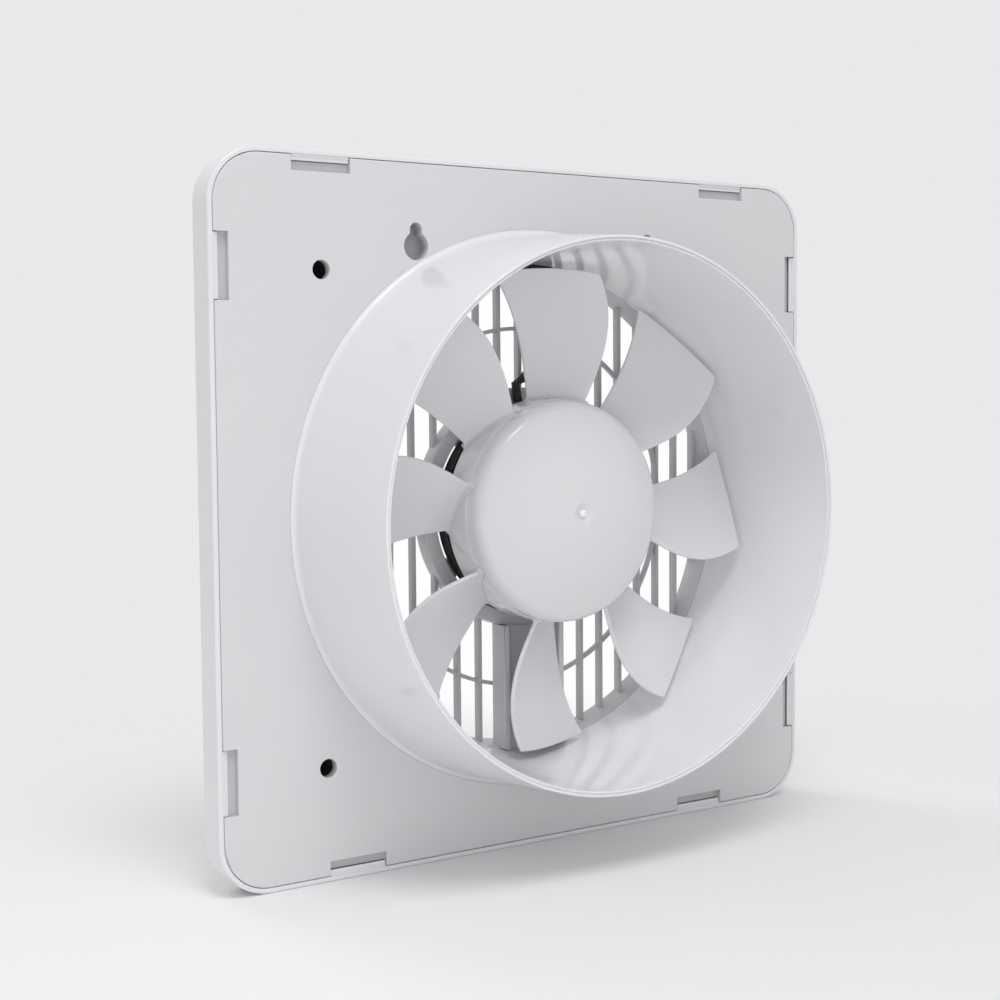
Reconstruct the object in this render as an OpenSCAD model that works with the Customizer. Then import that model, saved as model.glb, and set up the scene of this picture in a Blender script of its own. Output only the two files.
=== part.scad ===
// Window exhaust fan: a wall plate with a tapered duct, a clip-on front cover, a guard that carries
// the motor, and a bladed impeller on the motor shaft.
// Every piece is drawn with X to the right as seen from the duct side, Y up and Z along the duct,
// and upright() then stands it up. Z = 0 is the wall, so the duct has positive Z and the room
// side has negative Z.

/* [Cover] */
// How far the cover reaches past the duct on its left and right
side_margin = 28.5; // [26:0.5:40]
// How far the cover reaches past the duct at its top and bottom
end_margin = 23.5; // [22:0.5:36]
// Depth of the front cover, from the wall to its face
cover_depth = 15; // [14.8:0.1:16]
// Corner radius of the cover, seen from the front
cover_corner = 18; // [14:0.5:22]
// Wall thickness of the cover
cover_wall = 1.6; // [1.4:0.1:2]
// Rounding between the sides and the face of the cover
face_round = 5; // [3:0.5:6]

/* [Back plate] */
// Thickness of the back plate
plate_t = 3; // [2.6:0.1:3.2]
// Gap between the plate and the cover all round
seam = 0.3; // [0.2:0.1:0.5]
// Length of each clip notch in the edge of the plate
notch_len = 21.5; // [16:0.5:24]
// How far a clip notch reaches in from the edge of the plate
notch_reach = 5; // [4.5:0.1:6]
// Distance of the two top notches from the sides of the cover
top_notch_inset = 40; // [36:0.5:50]
// Distance of the two bottom notches from the sides of the cover
bottom_notch_inset = 50.5; // [40:0.5:58]
// Distance of the side notches from the top and bottom of the cover
side_notch_inset = 38; // [36:0.5:44]

/* [Wall fixings] */
// Distance of the wall screws from the sides of the cover
screw_inset_x = 39.5; // [37:0.25:41]
// Distance of the wall screws from the top and bottom of the cover
screw_inset_y = 38.25; // [36:0.25:39.5]
// Diameter of a wall screw hole
screw_hole_d = 6.3; // [5:0.1:6.6]
// Distance between the two hanging keyholes
keyhole_span = 99; // [94:0.5:110]
// Plate between a keyhole and the root of the duct
keyhole_gap = 1.2; // [0.8:0.1:4]
// Diameter of the keyhole where the screw head goes in
keyhole_head_d = 9.4; // [8:0.1:9.8]
// Width of the keyhole slot
keyhole_slot_d = 4.7; // [4:0.1:5.4]
// Depth of the keyhole pocket
keyhole_depth = 5.5; // [4.5:0.1:6]

/* [Duct] */
// Outside diameter of the duct where it leaves the plate
duct_base_d = 193; // [160:0.5:230]
// How much narrower the duct is at its rim
duct_taper = 8; // [4:0.5:10]
// Length of the duct behind the wall plane
duct_len = 52; // [44:1:70]
// Wall thickness of the duct
duct_wall = 1.8; // [1.5:0.1:2]
// Distance between the outer face of the duct and its bore, where the guard seats on it
duct_double = 10; // [8:0.5:12]

/* [Guard] */
// How far the throat of the guard narrows from the bore of the duct, on the radius
throat_step = 2.5; // [1:0.5:4]
// Spacing of the guard bars
bar_pitch = 9; // [7:0.25:12]
// Thickness of a guard bar
bar_t = 1.6; // [1.2:0.1:2.4]
// Depth of a guard bar along the duct
bar_depth = 3; // [2:0.1:3.2]
// Distance between the throat and the round rib that ties the bars together
rib_inset = 20; // [10:0.5:30]
// Air between the motor and the wall of the cup that holds it
cup_gap = 4.7; // [4.2:0.1:7]
// Width of the support arm below the cup
arm_w = 26; // [20:0.5:34]

/* [Impeller] */
// Number of blades
blade_count = 8; // [5:1:9]
// Air between the blade tips and the bore of the duct
tip_gap = 2; // [1.5:0.1:5]
// Air between the stator stack and the inside of the hub
hub_gap = 1.8; // [1.4:0.1:3]
// Height of the domed end of the hub above its side wall
hub_dome = 6; // [4:0.5:9]
// Thickness of the hub wall
hub_wall = 2.2; // [1.6:0.1:2.4]
// Thickness of a blade at the hub
blade_t = 1.9; // [1.5:0.1:2.4]
// Half of the angle that a blade covers at the hub
root_half_angle = 11.5; // [8:0.5:14]
// Half of the angle that a blade covers at its tip
tip_half_angle = 12.3; // [8:0.5:14]
// Axial rise of a blade from its leading edge to its trailing edge
blade_rise = 13.5; // [8:0.5:14]

/* [Motor] */
// Outside diameter of the rear motor bracket
motor_d = 73; // [72.6:0.1:73.4]
// Height of the stator lamination stack
stack_h = 8; // [7:0.25:8.5]
// Diameter of the rotor
rotor_d = 40; // [36:0.5:41]
// Air gap between the rotor and the stator
air_gap = 0.5; // [0.4:0.1:0.8]
// Diameter of the motor shaft
shaft_d = 6; // [5:0.5:7]
// Running clearance of the shaft in its bearings, on the radius
shaft_clear = 0.04; // [0.02:0.01:0.08]

/* [Hidden] */

fine = 96;
small = 32;
eps = 0.05;
touch = 0.1;

// Cover and plate
cover_w = duct_base_d + 2 * side_margin;
cover_h = duct_base_d + 2 * end_margin;
face_z = -cover_depth;
face_in_z = face_z + cover_wall;
lip_round = 0.7;
plate_w = cover_w - 2 * (cover_wall + seam);
plate_h = cover_h - 2 * (cover_wall + seam);
plate_corner = cover_corner - cover_wall - seam;
plate_edge_round = 0.5;
hook_t = 0.9;
hook_barb = 0.7;
hook_slot = hook_t + hook_barb + seam;
ledge_t = 1;
top_notch_x = cover_w / 2 - top_notch_inset;
bottom_notch_x = cover_w / 2 - bottom_notch_inset;
side_notch_y = cover_h / 2 - side_notch_inset;
screw_span_x = cover_w - 2 * screw_inset_x;
screw_span_y = cover_h - 2 * screw_inset_y;

// Duct: an outer wall that fills the hole in the wall and an inner wall round the impeller
base_r = duct_base_d / 2;
rim_r = base_r - duct_taper / 2;
bore_seat_r = base_r - duct_double;
bore_rim_r = rim_r - duct_wall;
seat_z = -7;
lip_z = duct_len - duct_wall / 2;
root_fillet = 1.6;
root_r = base_r + root_fillet;
duct_rib_t = 1.5;
duct_rib_count = 12;
duct_rib_start = -plate_t + 0.6;
duct_rib_end = 38;

// Guard
throat_r = bore_seat_r - throat_step;
guard_front_z = face_z + 0.6;
bar_front_z = guard_front_z + 0.4;
bar_back_z = bar_front_z + bar_depth;
sleeve_front_r = throat_r + duct_wall;
sleeve_seat_r = bore_seat_r + duct_wall;
cover_hole_r = sleeve_front_r + 0.5;
rib_ring_t = 1.4;
rib_ring_r = throat_r - rib_inset;
cup_wall = 1.8;
cup_r = motor_d / 2 + cup_gap + cup_wall;
cup_floor_z = guard_front_z + 1.2;
cup_floor_top = cup_floor_z + cup_wall;
cup_top_z = -8;
cup_lip_r = motor_d / 2 + 1.2;
cup_lip_t = 1.4;
lead_angle = 100;
lead_slot_angle = 30;
lead_side = -2.9;
lead_turn = [9, 4, 0];
vent_count = 9;
vent_inner_r = cup_lip_r - 5;
vent_outer_r = cup_r - cup_wall - 0.7;
arm_wall = 2.5;
arm_floor_z = -9;
arm_floor_t = 1.8;
arm_top_z = -3;
lug_r = sleeve_seat_r + 12.7;
lug_t = 2.4;
lug_z = -8;
lug_w = 9;
lug_neck_w = 7.6;
lug_neck_gap = 2.2;
lug_count = 4;
lug_angles = [for (i = [0 : lug_count - 1]) 45 + 360 / lug_count * i];
boss_r = 4.3;

// Small fasteners
screw_d = 2.9;
screw_head_d = 5.6;
screw_head_h = 1.7;
pilot_clear = 0.05;

// Wall screw bosses and rubber sleeves
sleeve_r = 5.4;
sleeve_boss_r = 7;
sleeve_boss_z = -9;
sleeve_end_z = -12;

// Keyholes
keyhole_rise = 5.5;
keyhole_y = sqrt(root_r * root_r - keyhole_span * keyhole_span / 4) + keyhole_head_d / 2 + keyhole_gap;
keyhole_floor = 1.2;
keyhole_wall = 1.4;

// Motor, from the room side to the duct side
washer_t = 2;
washer_r = 5;
bracket_t = 1.2;
bracket_z = cup_floor_top + washer_t;
bracket_in_z = bracket_z + bracket_t;
bracket_h = 4.9;
bracket_end_z = bracket_z + bracket_h;
insulator_h = 2.5;
insulator_t = 0.6;
stack_z = bracket_end_z + insulator_h;
stack_end_z = stack_z + stack_h;
front_bracket_h = 6.5;
front_bracket_z = stack_end_z + front_bracket_h;
motor_r = motor_d / 2;
insulator_r = motor_r - 0.4;
stack_r = motor_r - 1.5;
front_bracket_r = stack_r - 0.4;
rotor_r = rotor_d / 2;
stator_bore_r = rotor_r + air_gap;
bolt_count = 3;
bolt_d = 3;
bolt_circle_r = stack_r - 3.1;
bolt_clear = 0.15;
bolt_head_h = 1.5;
bolt_head_r = 2.6;
bolt_past_nut = 0.6;
nut_h = 2;
coil_inner_r = stator_bore_r + 2;
coil_outer_r = bolt_circle_r - bolt_d / 2 - 1.4;
coil_rear_h = 3.6;
coil_front_h = 4.2;
coil_round = 1.4;
rim_inner_r = coil_outer_r + 0.3;
shaft_r = shaft_d / 2;
fit_clear = 0.02;
bearing_r = shaft_r + 3.5;
bearing_len = 4.4;
bearing_wall = 1.8;
bearing_rear_end = bracket_in_z + bearing_len;
bearing_front_z = front_bracket_z - bracket_t - bearing_len;
shaft_rear_z = bracket_in_z + 0.2;
washer_in_r = shaft_r + fit_clear;
thrust_r = shaft_r + 2.4;
thrust_t = 0.5;
cage_h = 2;
cage_inner_r = bearing_r + bearing_wall + 2.5;
felt_r = bearing_r + bearing_wall + 1.8;
felt_h = 2.5;
mount_screw_r = 24;
mount_screw_turn = 60;
motor_mount_d = 3.5;
motor_head_r = 3.2;
motor_head_h = 1.1;
fuse_size = [9, 4.2, 1.7];
fuse_angle = 210;
lead_exit_z = bracket_end_z - 2.3;

// Impeller
hub_r = stack_r + hub_gap + hub_wall;
hub_rear_z = stack_z + 3;
hub_front_z = hub_rear_z + 15.5;
hub_shoulder = 4.5;
hub_step_z = hub_front_z - 4;
hub_step = 0.5;
shoulder_sweep = 80;
hub_top_z = hub_front_z + hub_shoulder + hub_dome;
dome_r = hub_r - hub_shoulder - hub_step;
dome_sphere_r = (dome_r * dome_r + hub_dome * hub_dome) / (2 * hub_dome);
boss_in_z = front_bracket_z + 1.2;
hub_boss_r = shaft_r + 3.5;
shaft_front_z = hub_top_z - hub_wall - 1;
clip_len = 4;
clip_t = 0.8;
clip_z = boss_in_z + 0.6;
gate_r = 1.1;
gate_h = 0.5;
gate_dish_r = 2.6;
gate_dish = 0.7;
tip_r = bore_seat_r - tip_gap;
blade_root_r = hub_r - hub_step - 1.1;
blade_mid_z = hub_rear_z + 5.7;
tip_thin = 0.68;
blade_sweep = 4;
blade_bulge = 4;
blade_camber = 1.8;
mid_swell = 1.6;
blade_phase = -3.6;
blade_steps_r = 7;
blade_steps_c = 5;

// Wiring
lead_d = 3.2;
lead_sides = 8;
lead_ring_r = sleeve_seat_r + 4.2;
lead_ring_z = seat_z + 2;
grommet_x = 7;
grommet_w = 13;
grommet_z = -9.2;
grommet_t = 6;
grommet_in_y = throat_r - 8;
grommet_len = 14;
grommet_out_y = sleeve_seat_r + 0.6;
grommet_neck_w = 9;
grommet_neck_t = 4.2;
grommet_flange = 1.6;
grommet_bore_clear = 0.3;
terminal_x = plate_w / 2 - 14.5;
terminal_y = 9;
terminal_size = [13, 26, 8];
terminal_pitch = 10;
terminal_side_x = terminal_x - terminal_size[0] / 2 - touch;
terminal_screw_d = 3;
clamp_y = terminal_y - 22;
clamp_size = [18, 6, 2];
clamp_post_r = 2.8;
clamp_post_h = 4;
inlet_y = clamp_y - 13;
inlet_hole_r = 5;
inlet_bore_r = 3.2;
inlet_flange_r = 6.6;
inlet_flange_t = 1.5;
cap_x = -(plate_w / 2 - 13.5);
cap_size = [11, 30, 8];
cap_clip_t = 1.4;
cap_clip_w = 8;

// Functions

// Points of an arc in the plane, from angle a to angle b, in n steps
function arc(cx, cy, r, a, b, n) =
    [for (i = [0 : n]) [cx + r * cos(a + (b - a) * i / n), cy + r * sin(a + (b - a) * i / n)]];

// Inner radius of the duct at a height along it
function bore_r(z) = bore_seat_r + (bore_rim_r - bore_seat_r) * (z - seat_z) / (duct_len - seat_z);

// Outer radius of the duct at a height along it
function outer_r(z) = base_r + (rim_r - base_r) * z / duct_len;

// Middle surface of a blade: s runs from hub to tip, t from the trailing to the leading edge
function blade_angle(s, t) =
    blade_phase + blade_sweep * s - 4 * blade_bulge * s * (1 - s)
    + (2 * t - 1) * (root_half_angle + (tip_half_angle - root_half_angle) * s
                     + 4 * mid_swell * s * (1 - s));
function blade_z(s, t) =
    blade_mid_z + blade_rise * (0.46 + 0.04 * s) * (1 - 2 * t)
    - blade_camber * (0.5 + 0.5 * s) * (1 - pow(2 * t - 1, 2));
function blade_point(s, t, side) =
    let (r = blade_root_r + (tip_r - blade_root_r) * s, a = blade_angle(s, t))
    [r * cos(a), r * sin(a),
     blade_z(s, t) + side * blade_t / 2 * (1 - (1 - tip_thin) * s)];

// Point of a curve that leaves a towards b and reaches d from c, at a share t of its way
function bezier(a, b, c, d, t) =
    pow(1 - t, 3) * a + 3 * t * pow(1 - t, 2) * b + 3 * t * t * (1 - t) * c + t * t * t * d;

// Points along a lead, and one ring of points round it
function direction(path, i) =
    let (last = len(path) - 1,
         a = path[max(i - 1, 0)],
         b = path[min(i + 1, last)])
    (b - a) / norm(b - a);
function side_vector(d) = let (c = cross(d, [0.31, 0.23, 0.92])) c / norm(c);
function tube_ring(path, i, r) =
    let (d = direction(path, i), p = side_vector(d), q = cross(d, p))
    [for (k = [0 : lead_sides - 1])
        path[i] + r * (cos(360 * k / lead_sides) * p + sin(360 * k / lead_sides) * q)];

// Modules that several pieces share

module upright() {
    rotate([90, 0, 180]) children();
}

module ring(outer, inner, z, h) {
    translate([0, 0, z])
        difference() {
            cylinder(r = outer, h = h, $fn = fine);
            translate([0, 0, -1]) cylinder(r = inner, h = h + 2, $fn = fine);
        }
}

module disc(r, z, h) {
    translate([0, 0, z]) cylinder(r = r, h = h, $fn = small);
}

module at_polar(r, angle) {
    rotate([0, 0, angle]) translate([r, 0, 0]) children();
}

// A rounded pane whose edge has the section given as a child. The section lies in X and Y of its
// own plane, with X = corner radius at the outer edge and Y along the depth of the pane.
module pane(w, h, corner) {
    for (sx = [-1, 1], sy = [-1, 1])
        translate([sx * (w / 2 - corner), sy * (h / 2 - corner), 0])
            rotate([0, 0, sx > 0 ? (sy > 0 ? 0 : -90) : (sy > 0 ? 90 : 180)])
                rotate_extrude(angle = 90, $fn = fine) children();
    for (s = [-1, 1]) {
        translate([s * (w / 2 - corner), 0, 0])
            rotate([0, 0, s > 0 ? 0 : 180])
                translate([0, h / 2 - corner, 0])
                    rotate([90, 0, 0]) linear_extrude(height = h - 2 * corner) children();
        translate([0, s * (h / 2 - corner), 0])
            rotate([0, 0, s > 0 ? 90 : 270])
                translate([0, w / 2 - corner, 0])
                    rotate([90, 0, 0]) linear_extrude(height = w - 2 * corner) children();
    }
}

module cover_section() {
    outer_x = cover_corner;
    difference() {
        union() {
            translate([0, face_z]) square([outer_x - face_round, cover_depth]);
            translate([outer_x - face_round - 1, face_z + face_round])
                square([face_round + 1, cover_depth - face_round - lip_round]);
            translate([outer_x - face_round, face_z + face_round]) circle(face_round, $fn = fine);
            translate([outer_x - face_round - 1, -lip_round - 1])
                square([face_round + 1 - lip_round, lip_round + 1]);
            translate([outer_x - lip_round, -lip_round]) circle(lip_round, $fn = small);
        }
        translate([-1, face_in_z])
            square([outer_x - face_round + 1, cover_depth]);
        translate([outer_x - face_round - 1, face_z + face_round])
            square([face_round + 1 - cover_wall, cover_depth]);
        translate([outer_x - face_round, face_z + face_round])
            circle(face_round - cover_wall, $fn = fine);
    }
}

module plate_section() {
    translate([0, -plate_t]) square([plate_corner, plate_t - plate_edge_round]);
    translate([0, -plate_edge_round - eps])
        square([plate_corner - plate_edge_round, plate_edge_round + eps]);
    translate([plate_corner - plate_edge_round, -plate_edge_round])
        circle(plate_edge_round, $fn = small);
}

// Places its children at every clip: X points out of the plate's edge, with X = 0 on that edge
module at_clips() {
    for (s = [-1, 1]) {
        translate([s * top_notch_x, plate_h / 2, 0]) rotate([0, 0, 90]) children();
        translate([s * bottom_notch_x, -plate_h / 2, 0]) rotate([0, 0, -90]) children();
        translate([plate_w / 2, s * side_notch_y, 0]) children();
        translate([-plate_w / 2, s * side_notch_y, 0]) rotate([0, 0, 180]) children();
    }
}

module at_wall_screws() {
    for (sx = [-1, 1], sy = [-1, 1])
        translate([sx * screw_span_x / 2, sy * screw_span_y / 2, 0]) children();
}

module keyhole(grow, z, h) {
    for (s = [-1, 1])
        translate([s * keyhole_span / 2, keyhole_y, z]) {
            cylinder(d = keyhole_head_d + 2 * grow, h = h, $fn = small);
            translate([0, keyhole_rise, 0])
                cylinder(d = keyhole_slot_d + 2 * grow, h = h, $fn = small);
            translate([-keyhole_slot_d / 2 - grow, 0, 0])
                cube([keyhole_slot_d + 2 * grow, keyhole_rise, h]);
        }
}

module screw_with_head(d, head_d, head_h, head_z, tip_z) {
    z_low = min(head_z, tip_z);
    translate([0, 0, z_low]) cylinder(d = d, h = abs(tip_z - head_z), $fn = small);
    difference() {
        translate([0, 0, head_z - head_h]) cylinder(d = head_d, h = head_h, $fn = small);
        for (a = [0, 90])
            translate([0, 0, head_z - head_h - eps])
                rotate([0, 0, a])
                    translate([-head_d * 0.32, -0.35, 0])
                        cube([head_d * 0.64, 0.7, head_h * 0.5]);
    }
}

module tube_along(path, r) {
    rings = len(path);
    polyhedron(
        points = [for (i = [0 : rings - 1]) each tube_ring(path, i, r)],
        faces = [
            [for (k = [0 : lead_sides - 1]) k],
            [for (k = [lead_sides - 1 : -1 : 0]) (rings - 1) * lead_sides + k],
            for (i = [0 : rings - 2], k = [0 : lead_sides - 1])
                let (a = i * lead_sides + k,
                     b = i * lead_sides + (k + 1) % lead_sides,
                     c = a + lead_sides,
                     d = b + lead_sides)
                each [[a, c, b], [b, c, d]]
        ]);
}

// Plate and duct

module duct_walls() {
    gap_end_z = duct_rib_end;
    rotate_extrude($fn = fine)
        polygon(concat(
            [[bore_seat_r, seat_z], [bore_rim_r, lip_z]],
            arc(rim_r - duct_wall / 2, lip_z, duct_wall / 2, 180, 0, 6),
            [[outer_r(root_fillet), root_fillet]],
            arc(root_r, root_fillet, root_fillet, 180, 270, 4),
            [[root_r, -plate_t], [base_r - duct_wall, -plate_t],
             [outer_r(gap_end_z) - duct_wall, gap_end_z],
             [bore_r(gap_end_z) + duct_wall, gap_end_z],
             [bore_seat_r + duct_wall, seat_z]]));
}

module duct_ribs() {
    rib_z = duct_rib_start;
    for (i = [0 : duct_rib_count - 1])
        rotate([0, 0, 360 / duct_rib_count * (i + 0.5)])
            rotate([90, 0, 0])
                translate([0, 0, -duct_rib_t / 2])
                    linear_extrude(height = duct_rib_t)
                        polygon([[bore_r(rib_z) + duct_wall / 2, rib_z],
                                 [base_r - duct_wall / 2, rib_z],
                                 [outer_r(duct_rib_end) - duct_wall / 2, duct_rib_end + eps],
                                 [bore_r(duct_rib_end) + duct_wall / 2, duct_rib_end + eps]]);
}

module duct() {
    color([0.88, 0.88, 0.89])
        upright() {
            duct_walls();
            duct_ribs();
        }
}

module back_plate() {
    color([0.86, 0.86, 0.87])
        upright()
            difference() {
                union() {
                    pane(plate_w, plate_h, plate_corner) plate_section();
                    translate([-plate_w / 2 + plate_corner, -plate_h / 2 + plate_corner, -plate_t])
                        cube([plate_w - 2 * plate_corner, plate_h - 2 * plate_corner, plate_t]);
                    keyhole(keyhole_wall, -keyhole_depth - keyhole_floor,
                            keyhole_depth + keyhole_floor - plate_t + eps);
                    at_wall_screws() disc(sleeve_boss_r, sleeve_boss_z, -sleeve_boss_z - plate_t + eps);
                    for (a = lug_angles)
                        at_polar(lug_r, a) disc(boss_r, lug_z, -lug_z - plate_t + eps);
                    at_clamp_screws() disc(clamp_post_r, -plate_t - clamp_post_h, clamp_post_h + eps);
                }
                // hole that the root of the duct fills
                translate([0, 0, -plate_t]) cylinder(r = root_r, h = plate_t + 1, $fn = fine);
                // clip notches: a ledge, and a gap for the hook next to the edge
                at_clips() {
                    translate([-notch_reach, -notch_len / 2, -plate_t + ledge_t])
                        cube([notch_reach + 1, notch_len, plate_t]);
                    translate([-hook_slot, -notch_len / 2, -plate_t - 1])
                        cube([hook_slot + 1, notch_len, plate_t + 2]);
                }
                keyhole(0, -keyhole_depth, keyhole_depth + 1);
                at_wall_screws() {
                    disc(screw_hole_d / 2, -plate_t - 1, plate_t + 2);
                    disc(sleeve_r + touch, sleeve_boss_z - 1, -sleeve_boss_z - plate_t + 1);
                }
                for (a = lug_angles)
                    at_polar(lug_r, a) disc(screw_d / 2 + pilot_clear, lug_z - 1, -lug_z - 0.2);
                translate([terminal_x, inlet_y, 0]) disc(inlet_hole_r, -plate_t - 1, plate_t + 2);
                at_clamp_screws() disc(screw_d / 2 + pilot_clear, -plate_t - clamp_post_h - 1,
                                       clamp_post_h + 2);
            }
}

module front_cover() {
    color([0.93, 0.93, 0.94])
        upright() {
            difference() {
                union() {
                    pane(cover_w, cover_h, cover_corner) cover_section();
                    translate([-cover_w / 2 + cover_corner, -cover_h / 2 + cover_corner, face_z])
                        cube([cover_w - 2 * cover_corner, cover_h - 2 * cover_corner, cover_wall]);
                    at_clips() {
                        translate([seam - hook_t, -notch_len / 2 + seam, face_in_z - eps])
                            cube([hook_t + eps, notch_len - 2 * seam, -face_in_z - 0.4 + eps]);
                        translate([seam - hook_t - hook_barb, -notch_len / 2 + seam, -1.5])
                            cube([hook_barb + eps, notch_len - 2 * seam, 0.8]);
                    }
                }
                translate([0, 0, face_z - 1])
                    cylinder(r = cover_hole_r, h = cover_wall + 2, $fn = fine);
            }
        }
}

// Guard

module guard_bars() {
    reach = floor((throat_r - bar_t) / bar_pitch);
    intersection() {
        for (i = [-reach : reach])
            translate([i * bar_pitch - bar_t / 2, -throat_r - 1, bar_front_z])
                cube([bar_t, 2 * throat_r + 2, bar_depth]);
        ring(throat_r + duct_wall / 2, cup_r - cup_wall / 2, bar_front_z - 1, bar_depth + 2);
    }
}

module guard_sleeve() {
    rotate_extrude($fn = fine)
        polygon([[throat_r, guard_front_z], [sleeve_front_r, guard_front_z],
                 [sleeve_seat_r, seat_z], [bore_seat_r, seat_z]]);
}

module motor_cup() {
    difference() {
        union() {
            ring(cup_r, cup_r - cup_wall, guard_front_z, cup_top_z - guard_front_z);
            ring(cup_r, cup_lip_r, cup_top_z - cup_lip_t, cup_lip_t);
            disc_floor();
        }
        // slot that lets the motor lead out at the top
        rotate([0, 0, lead_angle])
            rotate_extrude(angle = lead_slot_angle, $fn = fine)
                translate([vent_inner_r, cup_floor_z - 1])
                    square([vent_outer_r - vent_inner_r, cup_top_z - cup_floor_z + 2]);
        rotate([0, 0, lead_angle])
            translate([cup_lip_r - 1, lead_side - lead_d / 2 - 0.5, cup_top_z - 3])
                cube([cup_r - cup_lip_r + 2, lead_d + 1, 5]);
    }
}

module disc_floor() {
    difference() {
        translate([0, 0, cup_floor_z])
            cylinder(r = cup_r - cup_wall / 2, h = cup_wall, $fn = fine);
        // arc vents near the edge of the floor, beside the slot
        for (i = [1 : vent_count - 1])
            rotate([0, 0, lead_angle + 360 / vent_count * i])
                rotate_extrude(angle = 360 / vent_count - 12, $fn = fine)
                    translate([vent_inner_r, cup_floor_z - 1])
                        square([vent_outer_r - vent_inner_r - 1, cup_wall + 2]);
        for (i = [0 : 2])
            at_polar(mount_screw_r, mount_screw_turn + 120 * i)
                disc(motor_mount_d / 2 + bolt_clear, cup_floor_z - 1, cup_wall + 2);
    }
}

module support_arm() {
    start = -cup_r + cup_wall / 2;
    intersection() {
        union() {
            for (s = [-1, 1])
                translate([s * (arm_w / 2 - arm_wall / 2) - arm_wall / 2, -bore_seat_r - 3,
                           bar_back_z - eps])
                    cube([arm_wall, bore_seat_r + 3 + start, arm_top_z - bar_back_z + eps]);
            translate([-arm_w / 2, -bore_seat_r - 3, arm_floor_z])
                cube([arm_w, bore_seat_r + 3 + start, arm_floor_t]);
        }
        // ends inside the walls of the cup and the sleeve, and just clear of the duct
        rotate_extrude($fn = fine)
            polygon([[cup_r - cup_wall / 2, guard_front_z], [throat_r + duct_wall / 2, guard_front_z],
                     [bore_seat_r + duct_wall / 2, seat_z], [bore_seat_r - 2 * touch, seat_z],
                     [bore_seat_r - 2 * touch, 0], [cup_r - cup_wall / 2, 0]]);
    }
}

module guard_lugs() {
    for (a = lug_angles)
        difference() {
            union() {
                at_polar(lug_r, a) disc(lug_w / 2, lug_z - lug_t, lug_t);
                rotate([0, 0, a])
                    translate([sleeve_seat_r - 1.6, -lug_neck_w / 2, lug_z - lug_t])
                        cube([lug_r - sleeve_seat_r + 1.6 - lug_neck_gap, lug_neck_w, lug_t]);
            }
            at_polar(lug_r, a) disc(screw_d / 2 + 0.2, lug_z - lug_t - 1, lug_t + 2);
        }
}

module motor_guard() {
    color([0.84, 0.84, 0.86])
        upright()
            difference() {
                union() {
                    guard_bars();
                    ring(rib_ring_r + rib_ring_t / 2, rib_ring_r - rib_ring_t / 2,
                         bar_front_z + 0.4, bar_depth - 0.9);
                    guard_sleeve();
                    motor_cup();
                    support_arm();
                    guard_lugs();
                }
                // window for the neck of the lead grommet, and a seat for its body in the bars
                translate([grommet_x - grommet_neck_w / 2 - touch, grommet_in_y + 2,
                           grommet_z - grommet_neck_t / 2 - touch])
                    cube([grommet_neck_w + 2 * touch, grommet_len, grommet_neck_t + 2 * touch]);
                intersection() {
                    translate([grommet_x - grommet_w / 2 - touch, grommet_in_y - touch,
                               grommet_z - grommet_t / 2 - touch])
                        cube([grommet_w + 2 * touch, grommet_len, grommet_t + 2 * touch]);
                    cylinder(r = throat_r, h = 2 * cover_depth, center = true, $fn = fine);
                }
            }
}

module guard_screws() {
    color([0.72, 0.73, 0.75])
        upright()
            for (a = lug_angles)
                at_polar(lug_r, a)
                    screw_with_head(screw_d, screw_head_d, screw_head_h, lug_z - lug_t, -1.5);
}

module screw_sleeves() {
    color([0.07, 0.07, 0.07])
        upright()
            at_wall_screws()
                difference() {
                    union() {
                        disc(sleeve_r, sleeve_end_z, -sleeve_end_z - plate_t);
                        disc(sleeve_boss_r, sleeve_end_z, sleeve_boss_z - sleeve_end_z);
                    }
                    disc(screw_hole_d / 2 + touch, sleeve_end_z - 1, -sleeve_end_z);
                }
}

// Impeller

module blade() {
    nr = blade_steps_r;
    nc = blade_steps_c;
    row = nc + 1;
    sheet = (nr + 1) * row;
    polyhedron(
        points = [for (side = [-1, 1], i = [0 : nr], j = [0 : nc])
                     blade_point(i / nr, j / nc, side)],
        faces = [
            for (i = [0 : nr - 1], j = [0 : nc - 1])
                let (a = i * row + j, b = a + 1, c = a + row, d = c + 1)
                each [[a, c, b], [b, c, d],
                      [sheet + a, sheet + b, sheet + c], [sheet + b, sheet + d, sheet + c]],
            for (j = [0 : nc - 1])
                let (a = j, b = j + 1, c = nr * row + j, d = c + 1)
                each [[a, b, sheet + a], [b, sheet + b, sheet + a],
                      [c, sheet + c, d], [d, sheet + c, sheet + d]],
            for (i = [0 : nr - 1])
                let (a = i * row, b = a + row, c = a + nc, d = b + nc)
                each [[a, sheet + a, b], [b, sheet + a, sheet + b],
                      [c, d, sheet + c], [d, sheet + d, sheet + c]]
        ]);
}

// Outline of the dome, from the shoulder to the axis, for a dome sunk by a given amount
function dome_line(sunk) = [for (i = [0 : 8])
    let (x = dome_r * (1 - i / 8))
    [x, hub_top_z - sunk - dome_sphere_r + sqrt(dome_sphere_r * dome_sphere_r - x * x)]];

module hub_shell() {
    shoulder_x = hub_r - hub_step - hub_shoulder;
    inner_r = hub_r - hub_wall;
    shoulder_in = hub_shoulder - hub_wall + hub_step;
    rotate_extrude($fn = fine)
        polygon(concat(
            [[inner_r, hub_rear_z], [hub_r, hub_rear_z], [hub_r, hub_step_z],
             [hub_r - hub_step, hub_step_z + hub_step]],
            arc(shoulder_x, hub_front_z, hub_shoulder, 0, shoulder_sweep, 6),
            dome_line(0),
            [for (i = [8 : -1 : 0]) dome_line(hub_wall)[i]],
            arc(shoulder_x, hub_front_z, shoulder_in, shoulder_sweep - 10, 0, 4)));
}

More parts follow.
